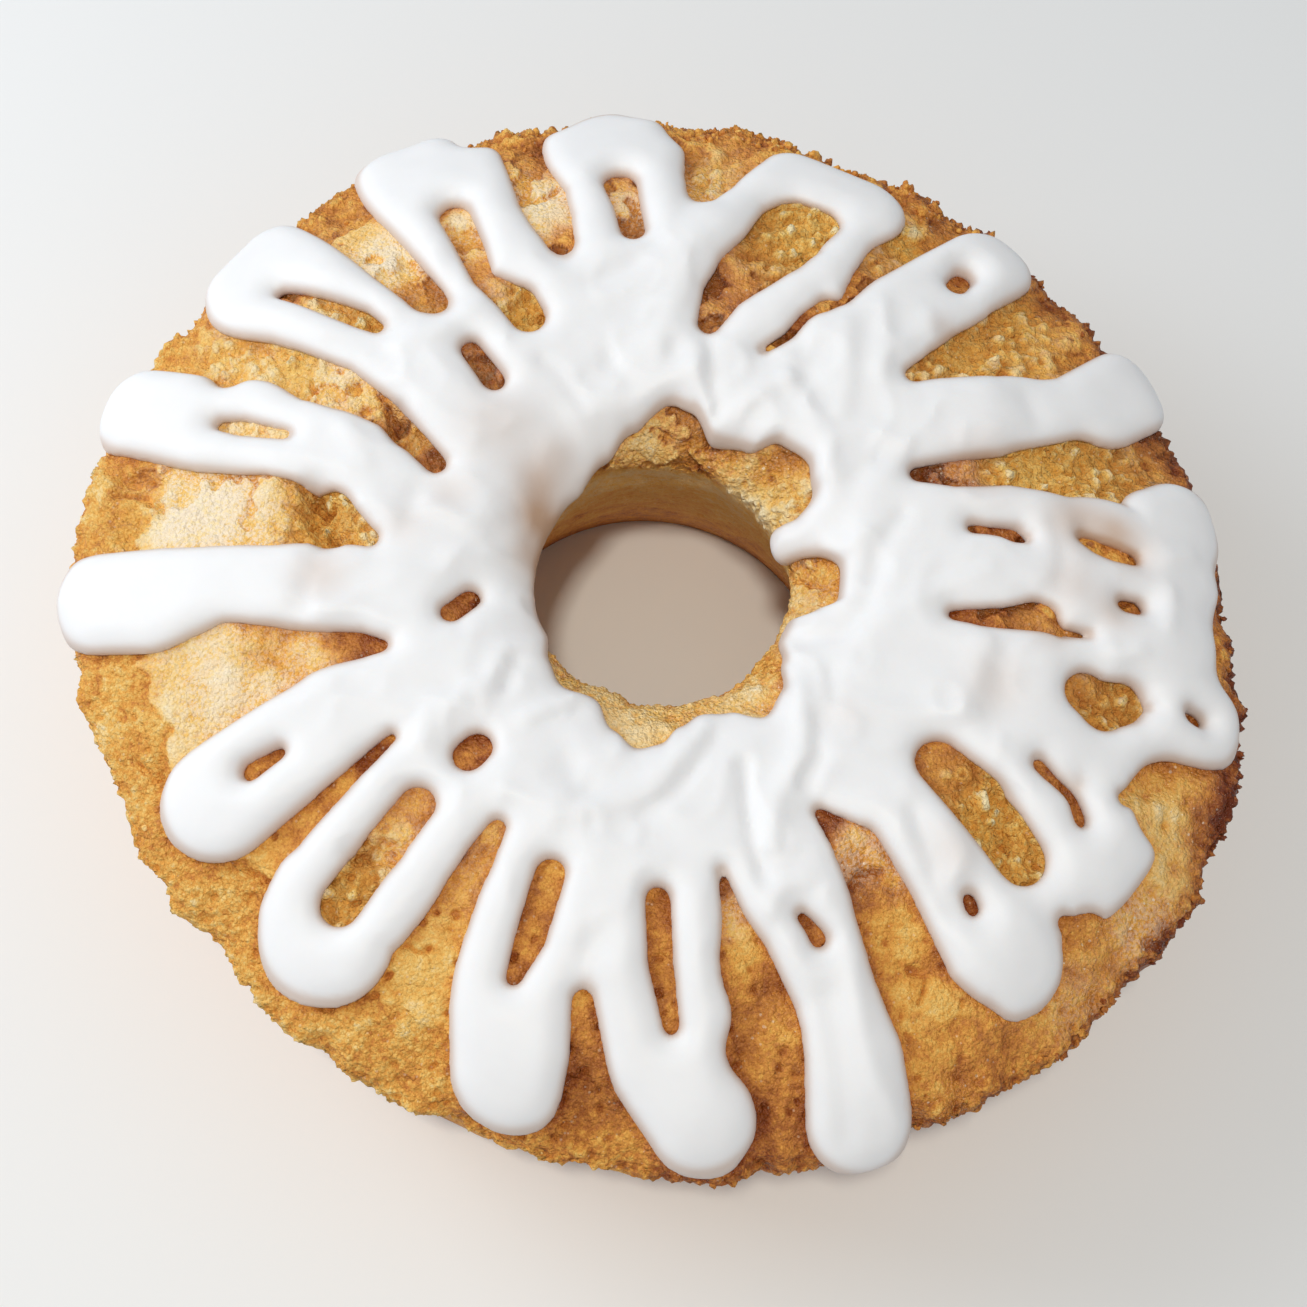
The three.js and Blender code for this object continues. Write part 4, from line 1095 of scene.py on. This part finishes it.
# %% Make the crumbs
CRUMBS_TRIED = 6600
CRUMB_RADIUS = (0.25, 0.65)
CRUMB_SQUASH = (0.6, 1.3)
CRUMB_DENTS = {"depth": 0.55, "span": 0.8, "stretch": 1.3, "seed": 95}
COARSER = 1.7
CRUMB_LIFT = 0.1
CRUMB_BROWNED = (0.12, 0.1)

# Crumbs lie about the rim, off the icing, and mostly where the rim itself is coarse.
SCATTER = {"outward": 0.5, "spread": 0.55, "off_icing": 0.8, "past_rim": 4, "sparse": 2.5}
crumb_luck = np.random.default_rng(11)

seed_form = bmesh.new()
bmesh.ops.create_icosphere(seed_form, subdivisions=2, radius=1)
ball = np.array([vertex.co for vertex in seed_form.verts])
ball_faces = np.array([[vertex.index for vertex in face.verts] for face in seed_form.faces])
seed_form.free()

tried_angle = crumb_luck.uniform(0, 360, CRUMBS_TRIED)
spread = SCATTER["spread"] * rim_reading(tried_angle, 3)
tried_along = RIM_RADIUS + crumb_luck.normal(SCATTER["outward"], spread)
ground = crust_surface(tried_along, tried_angle)
off_icing = ground["edge"] > SCATTER["off_icing"]
on_rim = tried_along < RIM_RADIUS + SCATTER["past_rim"]
likely = rim_reading(tried_angle, 2) ** SCATTER["sparse"]
lucky = crumb_luck.uniform(0, 1, CRUMBS_TRIED) < likely
kept = np.flatnonzero(off_icing & on_rim & lucky)
crumb_spots, crumb_faces = [], []
for number_made, place in enumerate(kept):
    coarse = rim_reading(tried_angle[place], 2)
    size = crumb_luck.uniform(*CRUMB_RADIUS) * mix(1, COARSER, coarse)
    squash = crumb_luck.uniform(*CRUMB_SQUASH, 3)
    own_part = ball * CRUMB_DENTS["stretch"] + 7.0 * number_made
    dents = grain(own_part, CRUMB_DENTS["span"], CRUMB_DENTS["seed"])
    lump = ball * (1 + CRUMB_DENTS["depth"] * dents)[:, None] * squash * size
    middle = ground["spot"][place] + ground["out"][place] * size * CRUMB_LIFT
    crumb_spots.append(lump + middle)
    crumb_faces.append(ball_faces + len(ball) * number_made)
crumb_browned = ground["paint"]["browned_and_shaded"][kept] + crumb_luck.normal(*CRUMB_BROWNED, len(kept))
crumb_paint = {"browned_and_shaded": np.repeat(limit(crumb_browned), len(ball)),
               "relief_and_shade": np.full(len(kept) * len(ball), 0.5)}
crumbs = make_object("loose_crumbs", np.vstack(crumb_spots), np.vstack(crumb_faces), crumb_paint)
settle(crumbs)
print(len(kept), "crumbs")

# %% [markdown]
# ## Materials
# One function adds a node with its settings and what feeds it, and one turns the hex colours
# that a paint chart gives into the linear numbers that the renderer works in.

# %% Node and colour tools
def linear(hex_colour):
    parts = [int(hex_colour[i:i + 2], 16) / 255 for i in (1, 3, 5)]
    return [part / 12.92 if part <= 0.04045 else ((part + 0.055) / 1.055) ** 2.4
            for part in parts] + [1]


def add(tree, kind, settings=None, inputs=None):
    """Adds a node. inputs maps a socket's name or number to a value or to another socket."""
    node = tree.nodes.new(kind)
    for name, value in (settings or {}).items():
        setattr(node, name, value)
    for name, value in (inputs or {}).items():
        if isinstance(value, bpy.types.NodeSocket):
            tree.links.new(value, node.inputs[name])
        else:
            node.inputs[name].default_value = value
    return node


def new_material(name):
    material = bpy.data.materials.new(name)
    material.use_nodes = True
    material.node_tree.nodes.clear()
    return material, material.node_tree


# %% [markdown]
# ## Baked butter sponge crust
# Crust is sponge dried and browned by the oven: matt where it is pale and sugary, with a slight
# shine where sugar and butter caramelised. Its colour runs along one line, from yellow crumb
# through gold and amber to red-brown, and the painted shares choose the place on that line.
# The grain of the crumb, 0.4 to 1.5 mm, is too fine for the mesh and comes from a bump. Near-white
# specks 1 mm across are painted glints, highlights painted into the colour, most on the glazed
# crust, where light sparkles on sugar grains half a millimetre across.

# %% Crust material
# Four noises: fine crumb, clusters of it, broad mottling, and dusty sugar. Each has its span in
# mm, its detail and its roughness.
CRUST_NOISES = [(0.4, 2.0, 0.6), (1.5, 3.0, 0.6), (5.0, 4.0, 0.65), (0.7, 1.5, 0.6)]
GRANULE = 0.85
GRANULE_BEND = {"span": 0.9, "reach": 0.7 * METRES}
GLINT_SPAN = 1.0
CRUMB_RELIEF = 0.5 * METRES
CRUST_COLOURS = [
    (0.00, "#ffeeca"), (0.18, "#fbdc9f"), (0.34, "#f7c66c"), (0.48, "#edaa4b"),
    (0.60, "#d68a39"), (0.74, "#b3692b"), (0.88, "#8f440f"), (1.00, "#702d07"),
]
CRUMB_SHADE_TO_HIGHLIGHT = [(0.00, "#bc7532"), (0.38, "#f0b24e"), (0.72, "#ffdb82"), (1.00, "#fff2c6")]
SUGAR_COLOUR = "#fcebd6"
GLINT_COLOUR = "#fff1da"
SPONGE_IOR = 1.45


def per_metre(span):
    """The scale of a texture whose pattern repeats about every span, given in mm."""
    return 1 / (span * METRES)


def sum_of(tree, start, *terms):
    """start + weight * (value - middle) for each (value, middle, weight)."""
    total = start
    for value, middle, weight in terms:
        part = add(tree, "ShaderNodeMath", {"operation": "MULTIPLY_ADD"},
                   {0: value, 1: weight, 2: -middle * weight}).outputs[0]
        total = add(tree, "ShaderNodeMath", {"operation": "ADD"}, {0: total, 1: part}).outputs[0]
    return total


crust_material, tree = new_material("baked_sponge_crust")
where = add(tree, "ShaderNodeTexCoord").outputs["Object"]
browned_and_shaded, sugary, torn, soaked_and_shaded, relief_and_shade, glazed, granular = [
    add(tree, "ShaderNodeAttribute", {"attribute_name": name}).outputs["Fac"]
    for name in ("browned_and_shaded", "sugary", "torn", "soaked_and_shaded", "relief_and_shade", "glazed", "granular")
]
fine, cluster, mottle, dust = [
    add(tree, "ShaderNodeTexNoise", None, {
        "Vector": where, "Scale": per_metre(span), "Detail": detail,
        "Roughness": roughness}).outputs[0]
    for span, detail, roughness in CRUST_NOISES
]
bent = add(tree, "ShaderNodeVectorMath", {"operation": "MULTIPLY_ADD"}, {
    0: add(tree, "ShaderNodeTexNoise", None, {
        "Vector": where, "Scale": per_metre(GRANULE_BEND["span"]),
        "Detail": 1.0}).outputs["Color"],
    1: [GRANULE_BEND["reach"]] * 3, 2: where}).outputs[0]
granules = add(tree, "ShaderNodeTexVoronoi", None, {
    "Vector": bent, "Scale": per_metre(GRANULE)})
granule_tone = add(tree, "ShaderNodeSeparateColor", None, {
    "Color": granules.outputs["Color"]}).outputs[0]
granule_dip = granules.outputs["Distance"]

# Grit: a random tone per granule, and painted shade in the grooves between granules.
grit_and_crevice_shade = add(tree, "ShaderNodeMath", {"operation": "MULTIPLY"}, {
    0: sum_of(tree, granule_dip, (granule_tone, 0.5, 1.0), (fine, 0.5, 0.8)),
    1: granular}).outputs[0]
# The tone is darker in low relief and in cracks, as painted shade in the hollows, and lighter on
# the peaks.
tone = sum_of(tree, browned_and_shaded, (mottle, 0.5, 0.46), (cluster, 0.5, 0.36), (fine, 0.5, 0.3),
              (grit_and_crevice_shade, 0.2, 0.16), (soaked_and_shaded, 0.0, 0.14), (relief_and_shade, 0.5, -0.42))

# Torn crumb is painted dark in its hollows and pale on its lumps, as painted shade and painted
# highlight, with some random tone.
crumb_tone_and_shade = add(tree, "ShaderNodeMapRange", None, {
    "Value": sum_of(tree, relief_and_shade, (cluster, 0.5, 0.6), (granule_tone, 0.5, 0.3),
                    (browned_and_shaded, 0.36, -0.7)),
    "From Min": -0.35, "From Max": 0.5}).outputs[0]
lines = []
for place_on_line, stops in ((tone, CRUST_COLOURS), (crumb_tone_and_shade, CRUMB_SHADE_TO_HIGHLIGHT)):
    ramp = add(tree, "ShaderNodeValToRGB", None, {"Fac": place_on_line})
    while len(ramp.color_ramp.elements) < len(stops):
        ramp.color_ramp.elements.new(0.5)
    for stop, (place, colour) in zip(ramp.color_ramp.elements, stops):
        stop.position = place
        stop.color = linear(colour)
    lines.append(ramp.outputs["Color"])
baked_and_shaded, crumb_light_and_shade = lines

speckle = add(tree, "ShaderNodeMapRange", None, {
    "Value": sum_of(tree, dust, (fine, 0.5, 0.6), (mottle, 0.5, 0.5), (relief_and_shade, 0.5, 0.2)),
    "From Min": 0.4, "From Max": 0.54}).outputs[0]
sugar_share = add(tree, "ShaderNodeMath", {"operation": "MULTIPLY"}, {
    0: sugary, 1: speckle}).outputs[0]
with_sugar = add(tree, "ShaderNodeMix", {"data_type": "RGBA"}, {
    0: sugar_share, 6: baked_and_shaded, 7: linear(SUGAR_COLOUR)}).outputs[2]
torn_share = add(tree, "ShaderNodeMath", {"operation": "MULTIPLY"}, {0: torn, 1: 0.85}).outputs[0]
with_crumb = add(tree, "ShaderNodeMix", {"data_type": "RGBA"}, {
    0: torn_share, 6: with_sugar, 7: crumb_light_and_shade}).outputs[2]

# Painted glints: near-white specks in the colour, standing for highlights.
glint_cells = add(tree, "ShaderNodeTexVoronoi", None, {"Vector": where, "Scale": per_metre(GLINT_SPAN)})
glint_size = add(tree, "ShaderNodeSeparateColor", None, {
    "Color": glint_cells.outputs["Color"]}).outputs[1]
glint = add(tree, "ShaderNodeMapRange", None, {
    "Value": sum_of(tree, glint_size, (glint_cells.outputs["Distance"], 0.0, -0.9)),
    "From Min": 0.68, "From Max": 0.78}).outputs[0]
glint_share = add(tree, "ShaderNodeMath", {"operation": "MULTIPLY"}, {
    0: glint, 1: sum_of(tree, 0.22, (glazed, 0.0, 0.45), (sugary, 0.0, 0.2))}).outputs[0]
colour = add(tree, "ShaderNodeMix", {"data_type": "RGBA"}, {
    0: glint_share, 6: with_crumb, 7: linear(GLINT_COLOUR)}).outputs[2]

dry = add(tree, "ShaderNodeMapRange", None, {
    "Value": sum_of(tree, tone, (soaked_and_shaded, 0.0, 0.3), (fine, 0.5, -0.5), (torn, 0.0, -0.5),
                    (glazed, 0.0, 1.0)),
    "From Min": 0.3, "From Max": 1.2, "To Min": 0.8, "To Max": 0.2}).outputs[0]
grains = sum_of(tree, fine, (cluster, 0.5, 1.2), (granule_dip, 0.4, -1.3))
roughened = add(tree, "ShaderNodeMapRange", None, {
    "Value": granular, "To Min": 0.75, "To Max": 1.0}).outputs[0]
bump = add(tree, "ShaderNodeBump", None, {
    "Strength": roughened, "Distance": CRUMB_RELIEF, "Height": grains}).outputs[0]
sponge = add(tree, "ShaderNodeBsdfPrincipled", None, {
    "Base Color": colour, "Roughness": dry, "Normal": bump, "IOR": SPONGE_IOR})
add(tree, "ShaderNodeOutputMaterial", None, {"Surface": sponge.outputs[0]})
cake.data.materials.append(crust_material)
crumbs.data.materials.append(crust_material)
print(crust_material.name, "has", len(tree.nodes), "nodes")

# %% [markdown]
# ## Set sugar icing
# Icing sugar and milk set to an opaque white paste with a satin skin. A little light enters it,
# which softens the shade in its folds and warms its thin edges.

# %% Icing material
SKIN_SPAN = 7.0
SKIN_RELIEF = 0.6 * METRES
LIGHT_REACH = 1.5 * METRES
ICING_WHITES = ("#ededf0", "#f3f3f6")
CRUST_THROUGH_AND_SHADE = "#c5a68f"
ICING_IOR = 1.45

icing_material, tree = new_material("set_sugar_icing")
where = add(tree, "ShaderNodeTexCoord").outputs["Object"]
skin = add(tree, "ShaderNodeTexNoise", None, {
    "Vector": where, "Scale": per_metre(SKIN_SPAN), "Detail": 3.0, "Roughness": 0.5}).outputs[0]
sheen = add(tree, "ShaderNodeMapRange", None, {
    "Value": skin, "From Min": 0.3, "From Max": 0.7, "To Min": 0.46, "To Max": 0.58}).outputs[0]
# thin: the crust's colour seen through thin icing, and painted shade, at its edges and hollows.
thin = add(tree, "ShaderNodeAttribute", {"attribute_name": "thin"}).outputs["Fac"]
thick_white = add(tree, "ShaderNodeMix", {"data_type": "RGBA"}, {
    0: skin, 6: linear(ICING_WHITES[0]), 7: linear(ICING_WHITES[1])}).outputs[2]
white = add(tree, "ShaderNodeMix", {"data_type": "RGBA"}, {
    0: thin, 6: thick_white, 7: linear(CRUST_THROUGH_AND_SHADE)}).outputs[2]
ripple = add(tree, "ShaderNodeBump", None, {
    "Strength": 0.15, "Distance": SKIN_RELIEF, "Height": skin}).outputs[0]
paste = add(tree, "ShaderNodeBsdfPrincipled", None, {
    "Base Color": white, "Roughness": sheen, "Normal": ripple, "IOR": ICING_IOR,
    "Subsurface Weight": 0.25, "Subsurface Radius": (1.0, 0.85, 0.75),
    "Subsurface Scale": LIGHT_REACH})
add(tree, "ShaderNodeOutputMaterial", None, {"Surface": paste.outputs[0]})
icing.data.materials.append(icing_material)
print(icing_material.name, "has", len(tree.nodes), "nodes")

# %% [markdown]
# ## What each piece stands for
# The frame has to know which body a piece rides on and which solid it replaces. The cake and the
# icing take the place of a solid each, and that solid is hidden. The crumbs are extra, and wear
# the crust's finish.

# %% Say what each piece is
for piece, node, slot in ((cake, "cake", "crust"), (icing, "icing", "sugar_icing")):
    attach(piece, "root")
    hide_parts(node)
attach(crumbs, "root")
print("pieces:", cake.name, icing.name, crumbs.name)

# %% [markdown]
# ## The stage
# A plain pale floor, a wide soft light from the left and behind, and an even sky to lift the
# shade, as beside a large window.

# %% Floor
FLOOR_SIDE = 3.0
floor_form = bmesh.new()
bmesh.ops.create_grid(floor_form, x_segments=1, y_segments=1, size=FLOOR_SIDE / 2)
floor_mesh = bpy.data.meshes.new("floor")
floor_form.to_mesh(floor_mesh)
floor_form.free()
floor = bpy.data.objects.new("floor", floor_mesh)
bpy.context.scene.collection.objects.link(floor)
floor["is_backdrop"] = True
floor_material, tree = new_material("pale_table_top")
top = add(tree, "ShaderNodeBsdfPrincipled", None, {
    "Base Color": linear("#ebecee"), "Roughness": 0.5})
add(tree, "ShaderNodeOutputMaterial", None, {"Surface": top.outputs[0]})
floor.data.materials.append(floor_material)
print("the floor is", FLOOR_SIDE, "m wide")

# %% Lights
SKY_COLOUR = "#e9f2fb"
SKY_STRENGTH = 0.42
CAKE_MIDDLE = (0, 0, 0.04)

scene = bpy.context.scene
sky = bpy.data.worlds.new("even_sky")
sky.use_nodes = True
glow = sky.node_tree.nodes["Background"]
glow.inputs["Color"].default_value = linear(SKY_COLOUR)
glow.inputs["Strength"].default_value = SKY_STRENGTH
scene.world = sky


def soft_light(name, place, aim, side, watts, colour):
    lamp = bpy.data.lights.new(name, "AREA")
    lamp.shape = "SQUARE"
    lamp.size = side
    lamp.energy = watts
    lamp.color = linear(colour)[:3]
    light = bpy.data.objects.new(name, lamp)
    light.location = place
    light.rotation_euler = (Vector(aim) - Vector(place)).to_track_quat("-Z", "Y").to_euler()
    scene.collection.objects.link(light)
    print(name, "light:", watts, "W from a square of", side, "m")


soft_light("ceiling", (-0.09, -0.3, 1.45), CAKE_MIDDLE, side=0.13, watts=8.8, colour="#fff5e2")
soft_light("window", (-0.68, 0.14, 0.46), CAKE_MIDDLE, side=0.5, watts=3.2, colour="#f4faff")

# %% [markdown]
# ## The camera
# It looks down on the cake from in front, at 68 degrees, about 0.42 m away, and is a little
# rolled, as it is when held in the hand.

# %% Camera
LENS = 57.48
SENSOR = 36
CAMERA_PLACE = Vector((0, -0.1624, 0.4272))
CAMERA_AIM = Vector((-0.00062, -0.00671, 0.040))
CAMERA_ROLL = np.radians(7.9)

view = bpy.data.cameras.new("view")
view.lens = LENS
view.sensor_width = SENSOR
view.sensor_fit = "HORIZONTAL"
ahead = (CAMERA_AIM - CAMERA_PLACE).normalized()
right = ahead.cross(Vector((0, 0, 1))).normalized()
up = right.cross(ahead)
rolled_right = right * np.cos(CAMERA_ROLL) + up * np.sin(CAMERA_ROLL)
rolled_up = up * np.cos(CAMERA_ROLL) - right * np.sin(CAMERA_ROLL)
camera = bpy.data.objects.new("camera", view)
turn = Matrix([rolled_right, rolled_up, -ahead]).transposed()
camera.matrix_world = Matrix.Translation(CAMERA_PLACE) @ turn.to_4x4()
scene.collection.objects.link(camera)
scene.camera = camera
scene.view_settings.view_transform = "Standard"
print("the camera is", round((CAMERA_AIM - CAMERA_PLACE).length, 3), "m from what it looks at")

# %% [markdown]
# ## The last measure
# How far the finished pieces pass the solid model's box on each side is printed, in mm. The
# finished pieces may pass the solid model's box by a millimetre or two, and no more.

# %% Keep the sizes, and finish
new_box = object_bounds()
grown = (np.array(new_box) - np.array(cad_box)).ravel() / METRES
print("grown by, in mm:", np.round(grown, 2))
